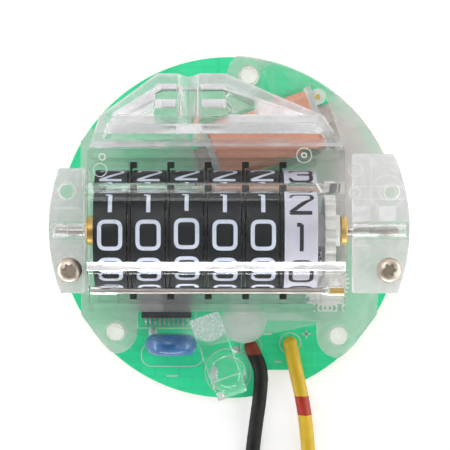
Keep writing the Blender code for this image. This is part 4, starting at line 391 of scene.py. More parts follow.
def finishes():
    """What makes each finish, and with which values."""
    colours = bpy.context.scene.meter_colours

    def pick(name):
        return tuple(getattr(colours, name))

    return {
        "solder mask": (board_finish, dict(base=pick("board"))),
        "cut fibre": (plastic, dict(base=linear(176, 196, 140), roughness=0.6, grain=2200.0, grain_depth=0.03 * MM)),
        "clear": (clear, dict(tint=(0.985, 0.995, 0.99), roughness=0.012, haze=0.01)),
        "cover": (clear, dict(tint=(0.985, 0.995, 0.99), roughness=0.012, haze=0.01, haze_colour=(0.88, 0.9, 0.9),
                              patches=[((-1.7, 5.3, 23.4), (60, 0.75, 1.3), 0.05, 0.2, False),
                                       ((3.5, -13.6, 15), (11, 2.9, 60), 0.12, 0.3, False)])),
        # Painted reflection: the hood's clear walls look white from the bright surroundings they reflect, and this
        # heavy white haze stands in for that reflection; the patches with negative haze thin it in places.
        "hood": (clear, dict(tint=(0.99, 0.985, 0.99), roughness=0.03, haze=0.62, haze_colour=(0.98, 0.97, 0.98),
                             patches=[((-5.0, 16.0, 18), (5.6, 3.2, 30), -0.4, 0.3, False),
                                      ((-1.6, 11.9, 20), (40, 0.9, 40), -0.35, 0.3, False),
                                      ((-1.6, 10.4, 12), (40, 0.35, 40), -0.9, 0.3, False),
                                      ((-1.6, 15.0, 4), (1000, 1000, 11), -0.9, 0.2, False)])),
        "hazy": (clear, dict(tint=(0.98, 0.98, 0.98), roughness=0.07, haze=0.42, haze_colour=(0.85, 0.83, 0.82),
                             shadow=0.8, patches=[((18, 9, 4), (8, 12, 1000), 0.25, 0.4, False),
                                                  ((9.0, 20.0, 4), (7.0, 4.5, 1000), -0.3, 0.4, False),
                                                  ((2.0, -13.0, 4), (3.4, 3.4, 1000), 0.3, 0.5, False)])),
        "pipe": (clear, dict(tint=(0.88, 0.97, 0.93), roughness=0.02, haze=0.02,
                             patches=[((-2.85, -12.7, 10), (2.75, 2.75, 1000), 0.9, 0.08, True),
                                      ((-2.85, -12.7, 10), (2.75, 2.75, 1000), 0.3, 0.08, False)])),
        "ridge": (clear, dict(tint=(0.99, 0.99, 0.99), roughness=0.1, haze=0.65, haze_colour=(0.96, 0.96, 0.96))),
        "milky": (clear, dict(tint=(0.97, 0.98, 0.975), roughness=0.3, haze=0.5)),
        "frosted": (clear, dict(tint=(0.98, 0.98, 0.98), roughness=0.16, haze=0.56, haze_colour=(0.92, 0.92, 0.92),
                                spread=0.08, shadow=0.85,
                                patches=[((0, -0.4, 15), (1000, 1.3, 1000), -0.48, 0.3, False)])),
        "lens": (clear, dict(tint=(0.97, 0.99, 0.98), roughness=0.02, haze=0.02)),
        "nylon": (plastic, dict(base=linear(243, 242, 238), roughness=0.35)),
        "black plastic": (plastic, dict(base=pick("black"), roughness=0.3, spread=0.1, gloss=0.3)),
        "white plastic": (plastic, dict(base=pick("white"), roughness=0.3)),
        "pale ink": (ink_finish, dict(base=pick("pale_ink"))),
        "dark ink": (ink_finish, dict(base=pick("dark_ink"))),
        "legend": (ink_finish, dict(base=linear(215, 232, 222))),
        "steel": (metal, dict(base=linear(206, 202, 196), roughness=0.22)),
        "knurled steel": (metal, dict(base=linear(186, 178, 172), roughness=0.3, scale=1100.0, depth=0.05 * MM)),
        "soft iron": (metal, dict(base=linear(206, 200, 194), roughness=0.42, turned=(0, 1, 0), scale=700.0,
                              metallic=0.5)),
        "magnet": (metal, dict(base=linear(78, 78, 80), roughness=0.5, scale=500.0)),
        "nickel": (metal, dict(base=linear(222, 208, 192), roughness=0.3, turned=(0, 0, 1), metallic=0.85)),
        "brass": (metal, dict(base=linear(222, 184, 104), roughness=0.36, metallic=0.8)),
        "gold": (metal, dict(base=linear(240, 208, 110), roughness=0.35, turned=(0, 0, 1), metallic=0.6)),
        "tin": (metal, dict(base=linear(222, 222, 224), roughness=0.28, metallic=0.6)),
        "solder": (metal, dict(base=linear(232, 234, 236), roughness=0.25, scale=300.0, depth=0.01 * MM,
                           metallic=0.5)),
        "winding": (winding_finish, dict(base=pick("copper"))),
        "blue coat": (enamel_finish, dict(base=pick("blue"))),
        "chip body": (plastic, dict(base=linear(58, 59, 63), roughness=0.5, grain=1400.0, grain_depth=0.03 * MM)),
        "black lead": (lead_finish, dict(base=linear(20, 20, 18), mark=linear(120, 52, 32), low=-17.7 * MM,
                                         high=-14.0 * MM, roughness=0.5, gloss=0.3)),
        "yellow lead": (lead_finish, dict(base=pick("yellow"), mark=pick("red"), low=-26.3 * MM, high=-23.5 * MM)),
    }


def finish(name):
    """A finish by its name, built the first time."""
    ready = bpy.data.materials.get(f"{name} finish")
    if ready:
        return ready
    make, values = finishes()[name]
    return make(name, **values)


# Mesh tools

def settle(shape, name, body, look, angle=28.0):
    """Makes a piece of a bmesh, at the origin, on its body and with its finish."""
    mesh = bpy.data.meshes.new(name)
    shape.to_mesh(mesh)
    shape.free()
    return dress(mesh, name, body, look, angle)


def placed(name, data):
    """A new object in the scene."""
    made = bpy.data.objects.new(name, data)
    bpy.context.scene.collection.objects.link(made)
    return made


def dress(mesh, name, body, look, angle=28.0):
    mesh.materials.clear()
    mesh.materials.append(finish(look))
    mesh.shade_smooth()
    mesh.set_sharp_from_angle(angle=math.radians(angle))
    piece = placed(name, mesh)
    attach(piece, body)
    return piece


def from_curve(curve, weld=0.001 * MM):
    """The solid of a curve as a clean bmesh."""
    holder = placed(curve.name, curve)
    graph = bpy.context.evaluated_depsgraph_get()
    mesh = bpy.data.meshes.new_from_object(holder.evaluated_get(graph))
    bpy.data.objects.remove(holder)
    shape = bmesh.new()
    shape.from_mesh(mesh)
    bpy.data.meshes.remove(mesh)
    bmesh.ops.remove_doubles(shape, verts=shape.verts, dist=weld)
    bmesh.ops.recalc_face_normals(shape, faces=shape.faces)
    return shape


def flat_shape(loops, low, high):
    """A flat outline with holes, between two heights."""
    curve = bpy.data.curves.new("outline", "CURVE")
    curve.dimensions = "2D"
    curve.fill_mode = "BOTH"
    curve.extrude = (high - low) / 2
    for loop in loops:
        spline = curve.splines.new("POLY")
        spline.points.add(len(loop) - 1)
        for point, (x, y) in zip(spline.points, loop):
            point.co = (x, y, 0, 1)
        spline.use_cyclic_u = True
    shape = from_curve(curve)
    bmesh.ops.translate(shape, verts=shape.verts, vec=(0, 0, (low + high) / 2))
    return shape


def ring(x, y, radius, sides=32):
    return [(x + radius * math.cos(math.tau * i / sides), y + radius * math.sin(math.tau * i / sides))
            for i in range(sides)]


def round_edges(shape, width, segments=2, angle=28.0):
    """Rounds every edge sharper than an angle."""
    sharp = [e for e in shape.edges if len(e.link_faces) == 2 and e.calc_face_angle() > math.radians(angle)]
    bmesh.ops.bevel(shape, geom=sharp, offset=width, offset_type="OFFSET", affect="EDGES", segments=segments,
                    profile=0.5, material=-1, clamp_overlap=True, loop_slide=True)


def softened(name, width, look, segments=2, piece_name=None, angle=28.0, reshape=None):
    """A copy of a CAD node with clean faces and rounded edges, in the node's place."""
    shape = bmesh.new()
    shape.from_mesh(frame["nodes"][name].data)
    bmesh.ops.remove_doubles(shape, verts=shape.verts, dist=0.002 * MM)
    if reshape:
        reshape(shape)
    bmesh.ops.dissolve_limit(shape, angle_limit=math.radians(1), verts=shape.verts, edges=shape.edges)
    round_edges(shape, width, segments, angle)
    piece = settle(shape, piece_name or f"{name}_finished", body_of(name), look)
    flat_faces = piece.modifiers.new("flat faces", "WEIGHTED_NORMAL")
    flat_faces.keep_sharp = True
    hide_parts(name)
    return piece


def body_of(name):
    for body, nodes in frame["record"]["behaviour"]["bodies"].items():
        if name in nodes:
            return body
    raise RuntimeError(f"{name} is on no body")


def turned_shape(profile, centre, axis, sides=48):
    """A turned solid. The profile is radius and height along the axis, closed on the axis or round a bore."""
    shape = bmesh.new()
    verts = [shape.verts.new((radius, 0, height)) for radius, height in profile]
    closed = profile[0][0] > 0 or profile[-1][0] > 0
    ends = verts[1:] + verts[:1] if closed else verts[1:]
    edges = [shape.edges.new((a, b)) for a, b in zip(verts, ends)]
    bmesh.ops.spin(shape, geom=verts + edges, cent=(0, 0, 0), axis=(0, 0, 1), angle=math.tau, steps=sides,
                   use_merge=True)
    bmesh.ops.remove_doubles(shape, verts=shape.verts, dist=0.0005 * MM)
    bmesh.ops.recalc_face_normals(shape, faces=shape.faces)
    turn = Vector((0, 0, 1)).rotation_difference(Vector(axis)).to_matrix().to_4x4()
    bmesh.ops.transform(shape, matrix=Matrix.Translation(centre) @ turn, verts=shape.verts)
    return shape


def added(target, extra):
    """Adds one bmesh to another."""
    mesh = bpy.data.meshes.new("extra")
    extra.to_mesh(mesh)
    extra.free()
    target.from_mesh(mesh)
    bpy.data.meshes.remove(mesh)
    return target


def corners(name):
    """A node's low and high corner."""
    return [Vector(corner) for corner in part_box(name)]


def middle(name):
    low, high = corners(name)
    return (low + high) / 2


def in_mm(*pairs):
    """Pairs of millimetres as pairs of metres."""
    return [tuple(value * MM for value in pair) for pair in pairs]


def dome(radius, centre, steps):
    """A half-round top's profile, from the axis out to its rim."""
    angles = (math.pi / 2 * i / steps for i in range(1, steps + 1))
    return [(0.0, centre + radius)] + [(radius * math.sin(a), centre + radius * math.cos(a)) for a in angles]


def wire(name, points, radius, resolution, closed=False):
    """A round wire along points, as a curve."""
    curve = bpy.data.curves.new(name, "CURVE")
    curve.dimensions = "3D"
    curve.bevel_depth = radius
    curve.bevel_resolution = resolution
    curve.use_fill_caps = True
    spline = curve.splines.new("POLY")
    spline.points.add(len(points) - 1)
    for target, point in zip(spline.points, points):
        target.co = (*point, 1)
    spline.use_cyclic_u = closed
    return curve


def axis_of(body):
    """A point on the joint axis that a body turns about."""
    for joint in frame["joints"]:
        if joint["child"] == body:
            return Vector(joint["pos_m"])
    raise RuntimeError(f"{body} turns about nothing")


def give(look, slot, *names):
    """Gives CAD nodes their finish."""
    for name in names:
        data = frame["nodes"][name].data
        data.materials.clear()
        data.materials.append(finish(look))


# Leads

LEAD_STEPS = 3
LYING_GAP = 0.02 * MM
BOARD_FRONT = 1.65 * MM
BLACK_ROUTE = (
    (3.1, -16.8, 3.0), (4.4, -20.0, 3.2), (4.3, -23.6, 3.25), (3.85, -27.2, 2.1),
    (3.4, -31.0, 1.03), (2.8, -37.0, 1.02), (1.0, -44.0, 1.02), (-3.4, -50.6, 1.02),
    (-10.0, -54.6, 1.02), (-17.6, -54.8, 1.02), (-23.8, -50.8, 1.02), (-26.6, -44.2, 1.02),
    (-25.4, -37.4, 1.02),
)
YELLOW_ROUTE = (
    (8.6, -16.3, 3.0), (9.35, -20.0, 3.2), (10.15, -23.6, 3.25), (10.75, -27.2, 2.1),
    (11.15, -31.0, 1.03), (11.7, -37.0, 1.02), (13.2, -44.0, 1.02), (17.0, -50.4, 1.02),
    (23.2, -54.6, 1.02), (30.6, -55.2, 1.02), (37.0, -51.8, 1.02), (40.4, -45.6, 1.02),
    (40.0, -38.6, 1.02),
)


def smooth_route(route):
    """Points along a smooth curve through a lead's route."""
    points = [Vector(point) * MM for point in route]
    ends = [2 * points[0] - points[1], *points, 2 * points[-1] - points[-2]]
    smooth = []
    for before, start, end, after in zip(ends, ends[1:], ends[2:], ends[3:]):
        for i in range(LEAD_STEPS):
            t = i / LEAD_STEPS
            smooth.append((2 * start + (end - before) * t + (2 * before - 5 * start + 4 * end - after) * t ** 2
                           + (3 * start - before - 3 * end + after) * t ** 3) / 2)
    smooth.append(points[-1])
    for point in smooth:
        point.z = max(point.z, points[-1].z - LYING_GAP)
    return smooth


def make_lead(colour_name, route, sizes):
    """A lead as a curve, with its bare stranded end."""
    points = smooth_route(route)
    curve = wire(f"{colour_name}_lead_wire", points, sizes.lead / 2, 6)
    curve.splines[0].use_smooth = True
    curve.materials.append(finish(f"{colour_name} lead"))
    lead = placed(f"{colour_name}_lead_wire", curve)
    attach(lead, "frame")
    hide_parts(f"{colour_name}_lead")
    strands = make_strands(colour_name, points)
    make_root(colour_name, points[0], sizes)


def make_root(colour_name, start, sizes):
    """The upright stub of a lead where it comes up through the board and bends over."""
    radius = sizes.lead / 2 - 0.01 * MM
    profile = dome(radius, start.z - BOARD_FRONT, 8) + [(radius, 0.0), (0.0, 0.0)]
    shape = turned_shape(profile, (start.x, start.y, BOARD_FRONT), (0, 0, 1), 32)
    settle(shape, f"{colour_name}_lead_root", "frame", f"{colour_name} lead", 60)


def make_strands(colour_name, points):
    """The tinned end of a lead: seven strands, twisted together."""
    along = (points[-1] - points[-2]).normalized()
    side = along.cross(Vector((0, 0, 1))).normalized()
    up = side.cross(along)
    start = points[-1] - along * 0.4 * MM
    whole = bmesh.new()
    for strand in range(7):
        reach = 0.29 * MM if strand else 0
        angles = (math.tau * strand / 6 + i * 0.22 for i in range(13))
        line = [start + along * (i / 12 * 5.6 * MM) + (side * math.cos(a) + up * math.sin(a)) * reach
                for i, a in enumerate(angles)]
        added(whole, from_curve(wire("strand", line, 0.15 * MM, 2)))
    piece = settle(whole, f"{colour_name}_lead_strands", "frame", "tin")
    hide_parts(f"{colour_name}_lead_end")
    return piece


# Board

LUG_DEGREES = (82.6, 222.5, 315.3)
LUG_CIRCLE_RADIUS = 21.5 * MM
LUG_HOLE_RADIUS = 1.5 * MM
BOARD_RADIUS = 24.0 * MM
NOTCH_LEFT, NOTCH_RIGHT, NOTCH_TOP = 3.94 * MM, 10.42 * MM, -20.06 * MM
LEGEND_WIDTH = 0.14 * MM
LAMP_X, LAMP_Y = -0.14, -20.3
# X, Y and radius, in millimetres
LEGEND_RINGS = ((3.1, -16.8, 1.55), (8.6, -16.3, 1.55), (LAMP_X, LAMP_Y, 3.3), (-19.0, -5.0, 0.9))
# X, Y, width, height and corner radius, in millimetres
LEGEND_OUTLINES = ((-8.0, -17.9, 8.8, 3.4, 1.5), (-8.75, -10.1, 8.4, 8.2, 0.3))
LEGEND_BARS = ((5.4, -15.0, 1.2, 0.24), (10.9, -15.0, 1.2, 0.24), (10.9, -15.0, 0.24, 1.2),
               (6.9, -18.9, 1.0, 0.2), (-8.0, -20.9, 1.6, 0.2))


def lug_places():
    for angle in map(math.radians, LUG_DEGREES):
        yield LUG_CIRCLE_RADIUS * math.cos(angle), LUG_CIRCLE_RADIUS * math.sin(angle)


def board_outline():
    """The board's rim, with its notch."""
    rim = ring(0, 0, BOARD_RADIUS, 256)
    kept = [p for p in rim if p[1] > 0 or not NOTCH_LEFT < p[0] < NOTCH_RIGHT]
    first = next(i for i, p in enumerate(kept) if p[1] < 0 and p[0] > NOTCH_LEFT)
    left, right = ((x, -math.sqrt(BOARD_RADIUS ** 2 - x ** 2)) for x in (NOTCH_LEFT, NOTCH_RIGHT))
    return kept[:first] + [left, (NOTCH_LEFT, NOTCH_TOP), (NOTCH_RIGHT, NOTCH_TOP), right] + kept[first:]


def make_board():
    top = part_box("circuit_board")[1][2]
    holes = [ring(x, y, LUG_HOLE_RADIUS) for x, y in lug_places()]
    shape = flat_shape([board_outline(), *holes], 0, top)
    board = settle(shape, "board_laminate", "frame", "solder mask")
    board.data.materials.append(finish("cut fibre"))
    for face in board.data.polygons:
        face.material_index = int(abs(face.normal.z) < 0.5)
    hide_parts("circuit_board")
    make_pads(top)
    make_legend(top)


def pad_places():
    """Solder places: X, Y and pad radius."""
    for name in ("bobbin_pin_1", "bobbin_pin_2", "rotor_pin"):
        point = middle(name)
        yield point.x, point.y, 0.85 * MM
    for x, y in ((-10.5, -16.2), (-5.5, -16.2), (-1.41, -20.3), (1.13, -20.3)):
        yield x * MM, y * MM, 0.8 * MM
    for route in (BLACK_ROUTE, YELLOW_ROUTE):
        yield route[0][0] * MM, route[0][1] * MM, 0.95 * MM


def make_pads(top):
    """Tinned pads on both faces, and two low solder cones on the front."""
    whole = bmesh.new()
    for x, y, radius in pad_places():
        wide = radius / MM
        front = in_mm((0, 0.03), (wide, 0.03), (wide, 0), (wide * 0.98, -0.01), (0, -0.01))
        back = in_mm((0, 0.02), (wide, 0.02), (wide, 0.001), (wide * 0.5, 0), (0, 0))
        for profile, height in ((front, top), (back, 0)):
            added(whole, turned_shape(profile, (x, y, height), (0, 0, 1), 24))
    for x, y in in_mm((-10.73, -14.73), (0.96, -17.2)):
        cone = in_mm((0, 0.5), (0.25, 0.45), (0.45, 0.2), (0.62, 0), (0, 0))
        added(whole, turned_shape(cone, (x, y, top), (0, 0, 1), 24))
    settle(whole, "solder_pads", "frame", "solder")


def outline_ring(points, width):
    """A closed line of a given width along points, as two loops."""
    count = len(points)
    inner = []
    for i in range(count):
        before, here, after = (Vector(points[j % count]) for j in (i - 1, i, i + 1))
        along = (after - before).normalized()
        inner.append(tuple(here + Vector((-along.y, along.x)) * width))
    return [points, inner]


def pill(x, y, width, height, radius, steps=6):
    """A rounded rectangle's points."""
    points = []
    for cx, cy, start in ((1, 1, 0), (-1, 1, 90), (-1, -1, 180), (1, -1, 270)):
        for i in range(steps + 1):
            angle = math.radians(start + 90 * i / steps)
            points.append((x + cx * (width / 2 - radius) + radius * math.cos(angle),
                           y + cy * (height / 2 - radius) + radius * math.sin(angle)))
    return points


def make_legend(top):
    """White lines on the board: rings at the leads, outlines of the parts, a plus and a minus."""
    whole = bmesh.new()
    outlines = [ring(x, y, radius, 40) for x, y, radius in in_mm(*LEGEND_RINGS)]
    outlines += [pill(*sizes) for sizes in in_mm(*LEGEND_OUTLINES)]
    loops = [outline_ring(points, LEGEND_WIDTH) for points in outlines]
    loops += [[pill(*sizes, 0.09 * MM, 3)] for sizes in in_mm(*LEGEND_BARS)]
    for loop in loops:
        added(whole, flat_shape(loop, top, top + bpy.context.scene.meter_sizes.silk))
    settle(whole, "board_legend", "frame", "legend")


# Parts on the board

def make_chip():
    """The chip's moulded body with its pin-one dimple, and its two rows of bent pins."""
    low, high = corners("controller_chip")
    half = Vector((7.2, 5.3)) * MM / 2
    centre = (low + high) / 2
    base = high.z - 1.4 * MM
    body = flat_shape([pill(centre.x, centre.y, half.x * 2, half.y * 2, 0.05 * MM, 1)], base, high.z)
    for vert in body.verts:
        lean = 0.12 * MM * abs(vert.co.z - (base + 0.7 * MM)) / (0.7 * MM)
        vert.co.x -= math.copysign(lean, vert.co.x - centre.x)
        vert.co.y -= math.copysign(lean, vert.co.y - centre.y)
    settle(body, "chip_body", "frame", "chip body", 20)
    dimple = turned_shape([(0.0, 0.012 * MM), (0.42 * MM, 0.012 * MM), (0.42 * MM, 0.0), (0.0, 0.0)],
                          (centre.x - 2.9 * MM, centre.y - 1.9 * MM, high.z), (0, 0, 1), 32)
    settle(dimple, "chip_dimple", "frame", "magnet")
    pins = bmesh.new()
    for side in (-1, 1):
        for i in range(10):
            x = centre.x + (i - 4.5) * 0.65 * MM
            added(pins, pin_shape(x, centre.y, side, low.z, base + 0.7 * MM))
    piece = settle(pins, "chip_pins", "frame", "tin")
    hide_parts("controller_chip")


def pin_shape(x, y, side, foot, shoulder):
    """One gull-wing pin, as a strip swept along its bends."""
    thick = 0.15 * MM
    reach = [(2.55, shoulder), (2.9, shoulder), (3.05, shoulder - 0.08 * MM), (3.2, foot + 0.2 * MM),
             (3.3, foot + thick), (3.75, foot + thick)]
    shape = bmesh.new()
    top = [shape.verts.new((x - 0.13 * MM, y + side * out * MM, z)) for out, z in reach]
    edges = [shape.edges.new(pair) for pair in zip(top, top[1:])]
    grown = bmesh.ops.extrude_edge_only(shape, edges=edges)["geom"]
    bmesh.ops.translate(shape, verts=[g for g in grown if isinstance(g, bmesh.types.BMVert)], vec=(0.26 * MM, 0, 0))
    bmesh.ops.recalc_face_normals(shape, faces=shape.faces)
    bmesh.ops.solidify(shape, geom=shape.faces[:], thickness=thick if side > 0 else -thick)
    bmesh.ops.recalc_face_normals(shape, faces=shape.faces)
    low = min(v.co.z for v in shape.verts)
    bmesh.ops.translate(shape, verts=shape.verts, vec=(0, 0, foot - low))
    return shape


def make_disc():
    """The surge disc: a fat coated disc that narrows onto its two legs."""
    centre = Vector((-8.0, -16.2, 6.1)) * MM
    half, rim = 1.6 * MM, 3.6 * MM
    profile = [(0.0, half * 0.92)]
    profile += [(rim - half * 0.8 + half * 0.8 * math.sin(a), half * 0.92 * math.cos(a))
                for a in (math.pi * i / 12 for i in range(13))]
    profile += [(0.0, -half * 0.92)]
    shape = turned_shape(profile, centre, (0, 1, 0), 64)
    for side in (-1, 1):
        sleeve = in_mm((0, 1.4), (0.9, 1.4), (0.75, 0.4), (0.45, -0.4), (0, -0.4))
        added(shape, turned_shape(sleeve, (centre.x + side * 2.5 * MM, centre.y, 3.2 * MM), (0, 0, 1), 24))
    piece = settle(shape, "surge_disc_coat", "frame", "blue coat", 50)
    legs = bmesh.new()
    for side in (-1, 1):
        leg = in_mm((0, 3.0), (0.3, 3.0), (0.3, 0.2), (0, 0.2))
        added(legs, turned_shape(leg, (centre.x + side * 2.5 * MM, centre.y, 0), (0, 0, 1), 16))
    settle(legs, "surge_disc_legs", "frame", "tin")
    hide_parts("surge_disc")


def make_lamp():
    """The lamp: a clear dome with its lead frame and chip cup inside."""
    x, y, base = LAMP_X * MM, LAMP_Y * MM, 1.9 * MM
    tall, radius = corners("indicator_lamp")[1].z - base, 2.45 * MM
    profile = dome(radius, tall - radius, 10) + [(radius, 0.95 * MM)]
    profile += in_mm((2.85, 0.9), (2.85, 0.05), (2.8, 0), (0, 0))
    piece = settle(turned_shape(profile, (x, y, base), (0, 0, 1), 64), "lamp_lens", "frame", "lens", 35)
    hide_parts("indicator_lamp")
    inside = bmesh.new()
    for side, top, wide in ((-1, 4.4, 0.62), (1, 4.1, 0.4)):
        post = in_mm((0, top), (wide, top), (wide * 0.8, top - 1), (0.28, top - 1.6), (0.28, 0.2), (0, 0.2))
        added(inside, turned_shape(post, (x + side * 1.27 * MM, y, 0.0), (0, 0, 1), 20))
    settle(inside, "lamp_frame", "frame", "tin")


# Motor and gears

def make_motor():
    softened("coil_bobbin", 0.12 * MM, "milky")
    softened("coil_core", 0.08 * MM, "soft iron")
    softened("stator", 0.06 * MM, "soft iron", 1)
    softened("coil_winding", 0.35 * MM, "winding", 4)
    give("gold", "brass", "bobbin_pin_1", "bobbin_pin_2")
    give("steel", "steel", "rotor_pin")
    give("magnet", "iron", "rotor_magnet")
    give("nylon", "nylon", "rotor_pinion", "worm_shaft", "drive_gear")
    for index in range(1, 6):
        give("nylon", "nylon", f"transfer_pinion_{index}")


# Drums

DRUM_RADIUS = 8.128 * MM
DRUM_EDGE = 0.05 * MM
DIGIT_X = 2.22 * MM
DIGIT_PITCH = 36
# Degrees from the front to each drum's first digit, and how much lower a 1 sits on a black drum
FIRST_DIGITS = (-4.1, -4.1, -2.7, -4.1, -4.1, -6.7 - DIGIT_PITCH)
LOW_ONE = 2.0


def stroke(points, closed, step=0.3):
    """Points along a digit's line, with its corners rounded. Each point is X, Y and corner radius."""
    count = len(points)
    line = []
    for i, (x, y, radius) in enumerate(points):
        here = Vector((x, y))
        if radius and (closed or 0 < i < count - 1):
            before = (Vector(points[i - 1][:2]) - here).normalized()
            after = (Vector(points[(i + 1) % count][:2]) - here).normalized()
            reach = radius / math.tan(before.angle(after) / 2)
            start, end = here + before * reach, here + after * reach
            line += [start.lerp(here, t).lerp(here.lerp(end, t), t) for t in (k / 6 for k in range(7))]
        else:
            line.append(here)
    if closed:
        line.append(line[0])
    dense = [line[0]]
    for end in line[1:]:
        start = dense[-1]
        parts = max(1, math.ceil((end - start).length / step))
        dense += [start.lerp(end, k / parts) for k in range(1, parts + 1)]
    return dense[:-1] if closed else dense


def digit_strokes(digit, x, y):
    """The lines of a digit, in millimetres about its centre. X and Y are its half width and height."""
    r, s = 0.85, 0.25
    return {
        0: [(True, [(-x, -y, r), (x, -y, r), (x, y, r), (-x, y, r)])],
        1: [(False, [(0, y, 0), (0, -y, 0)]), (False, [(-0.62, y - 0.05, 0), (0, y - 0.05, 0)])],
        2: [(False, [(-x, y - 0.75, 0), (-x, y, r), (x, y, r), (x, 0.45, 0.5), (-x, -y + 0.1, 0.12),
                     (-x, -y, 0.05), (x, -y, 0)])],
        3: [(False, [(-x, y - 0.7, 0), (-x, y, r), (x, y, r), (x, 0.05, 0.55), (-0.45, 0.05, 0)]),
            (False, [(x - 0.6, 0.05, 0), (x, 0.05, 0.5), (x, -y, r), (-x, -y, r), (-x, -y + 0.7, 0)])],
        4: [(False, [(0.55, -y, 0), (0.55, y, 0.1), (-x, -0.55, 0.15), (x, -0.55, 0)])],
        5: [(False, [(x, y, 0), (-x + 0.05, y, s), (-x, 0.3, s), (x, 0.35, r), (x, -y, r), (-x, -y, r),
                     (-x, -y + 0.7, 0)])],
        6: [(False, [(x, y - 0.7, 0), (x, y, r), (-x, y, r), (-x, -y, r), (x, -y, r), (x, 0.25, r),
                     (-x + 0.1, 0.25, 0)])],
        7: [(False, [(-x, y, 0), (x, y, 0.2), (-0.35, -y, 0)])],
        8: [(True, [(-x + 0.1, 0.1, 0.7), (x - 0.1, 0.1, 0.7), (x - 0.1, y, 0.7), (-x + 0.1, y, 0.7)]),
            (True, [(-x, -y, 0.75), (x, -y, 0.75), (x, 0.1, 0.75), (-x, 0.1, 0.75)])],
        9: [(False, [(-x, -y + 0.7, 0), (-x, -y, r), (x, -y, r), (x, y, r), (-x, y, r), (-x, -0.25, r),
                     (x - 0.1, -0.25, 0)])],
    }[digit]


def digit_shape(digit, sizes):
    """A digit as a flat bead of ink about the origin, X across and Y up."""
    half_x = (sizes.digit_width - sizes.digit_stroke) / 2 / MM
    half_y = (sizes.digit_height - sizes.digit_stroke) / 2 / MM
    whole = bmesh.new()
    for closed, points in digit_strokes(digit, half_x, half_y):
        line = [(point.x * MM, point.y * MM, 0) for point in stroke(points, closed)]
        added(whole, from_curve(wire("digit", line, sizes.digit_stroke / 2, 2, closed)))
    bmesh.ops.scale(whole, vec=(1, 1, sizes.ink / (sizes.digit_stroke / 2)), verts=whole.verts)
    return whole


def wrap(shape, centre, radius, x, angle):
    """Bends a flat shape round a drum, with its middle at an angle up from the front."""
    for vert in shape.verts:
        turn = angle + vert.co.y / radius
        reach = radius + vert.co.z
        vert.co = (x + vert.co.x, centre.y + reach * math.sin(turn), centre.z + reach * math.cos(turn))


def make_drums(sizes):
    """The drums' smooth bands, and their digits."""
    names = [f"number_drum_{i}" for i in range(1, 6)] + ["tenths_drum"]
    for name, first in zip(names, FIRST_DIGITS):
        white = name == "tenths_drum"
        own, other = ("white", "black") if white else ("black", "white")
        body = body_of(name)
        low, high = corners(name)
        centre = axis_of(body)
        wide = high.x - low.x
        foot, lip = DRUM_RADIUS - 0.12 * MM, DRUM_RADIUS - DRUM_EDGE
        give(f"{own} plastic", f"{own}_plastic", name)
        band = [(foot, 0.0), (lip, 0.0), (DRUM_RADIUS, DRUM_EDGE), (DRUM_RADIUS, wide - DRUM_EDGE), (lip, wide),
                (foot, wide)]
        shape = turned_shape(band, (low.x, centre.y, centre.z), (1, 0, 0), 128)
        settle(shape, f"{name}_band", body, f"{own} plastic")
        digits = bmesh.new()
        for digit in range(10):
            flat = digit_shape(digit, sizes)
            low_set = LOW_ONE if digit == 1 and not white else 0.0
            angle = math.radians(first + DIGIT_PITCH * digit - low_set)
            wrap(flat, centre, DRUM_RADIUS, low.x + DIGIT_X, angle)
            added(digits, flat)
        settle(digits, f"{name}_digits", body, "dark ink" if white else "pale ink", 60)
    for index in range(1, 6):
        give("black plastic", "black_plastic", f"pinion_carrier_{index}")


# Shaft, collars and screws

def make_shaft():
    """The shaft with its rounded ends and neck, the bush, the washer, the rod and its plug."""
    centre = middle("number_shaft")
    radius = 0.75 * MM
    left, right = (corner[0] - centre.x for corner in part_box("number_shaft"))
    neck = 16.8 * MM - centre.x
    profile = [(0.0, right), (0.45 * MM, right), (0.68 * MM, right - 0.12 * MM), (radius, right - 0.35 * MM),
               (radius, neck + 2.2 * MM), (0.55 * MM, neck + 2.1 * MM), (0.55 * MM, neck + 0.1 * MM), (radius, neck),
               (radius, left + 0.35 * MM), (0.68 * MM, left + 0.12 * MM), (0.45 * MM, left), (0.0, left)]
    piece = settle(turned_shape(profile, centre, (1, 0, 0)), "shaft_turned", "frame", "steel")
    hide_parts("number_shaft")
    for name in ("left_bush", "right_washer"):
        low, high = (corner[0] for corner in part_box(name))
        wide = high - low
        rim, edge = 1.93 * MM, 0.12 * MM
        profile = [(0.86 * MM, 0.0), (rim - edge, 0.0), (rim, edge), (rim, wide - edge), (rim - edge, wide),
                   (0.86 * MM, wide)]
        piece = settle(turned_shape(profile, (low, centre.y, centre.z), (1, 0, 0)), f"{name}_turned", "frame", "brass")
        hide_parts(name)
    softened("retaining_rod", 0.06 * MM, "knurled steel")
    softened("rod_plug", 0.08 * MM, "brass")


def make_screws():
    """Pan-head screws with a six-lobed recess."""
    for side in ("left", "right"):
        name = f"{side}_cap_screw"
        low, high = corners(name)
        x, y = (low.x + high.x) / 2, (low.y + high.y) / 2
        seat = high.z - 1.15 * MM
        rim = (high.x - low.x) / 2
        tall = high.z - seat
        profile = [(0.0, tall), (rim * 0.35, tall * 0.99), (rim * 0.62, tall * 0.94), (rim * 0.82, tall * 0.8),
                   (rim * 0.95, tall * 0.56), (rim, tall * 0.28), (rim, 0.05 * MM), (rim - 0.05 * MM, 0.0),
                   (0.75 * MM, 0.0), (0.75 * MM, -7.0 * MM), (0.0, -7.6 * MM)]
        head = turned_shape(profile, (x, y, seat), (0, 0, 1), 64)
        recess = flat_shape([lobed(x, y)], high.z - 0.42 * MM, high.z + 0.3 * MM)
        shape = subtract(head, recess)
        piece = settle(shape, f"{name}_head", "frame", "nickel")
        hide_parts(name)


def lobed(x, y, reach=0.92 * MM, depth=0.17, steps=72):
    """A six-lobed outline."""
    points = []
    for i in range(steps):
        angle = math.tau * i / steps
        radius = reach * (1 - depth + depth * math.cos(6 * angle))
        points.append((x + radius * math.cos(angle), y + radius * math.sin(angle)))
    return points


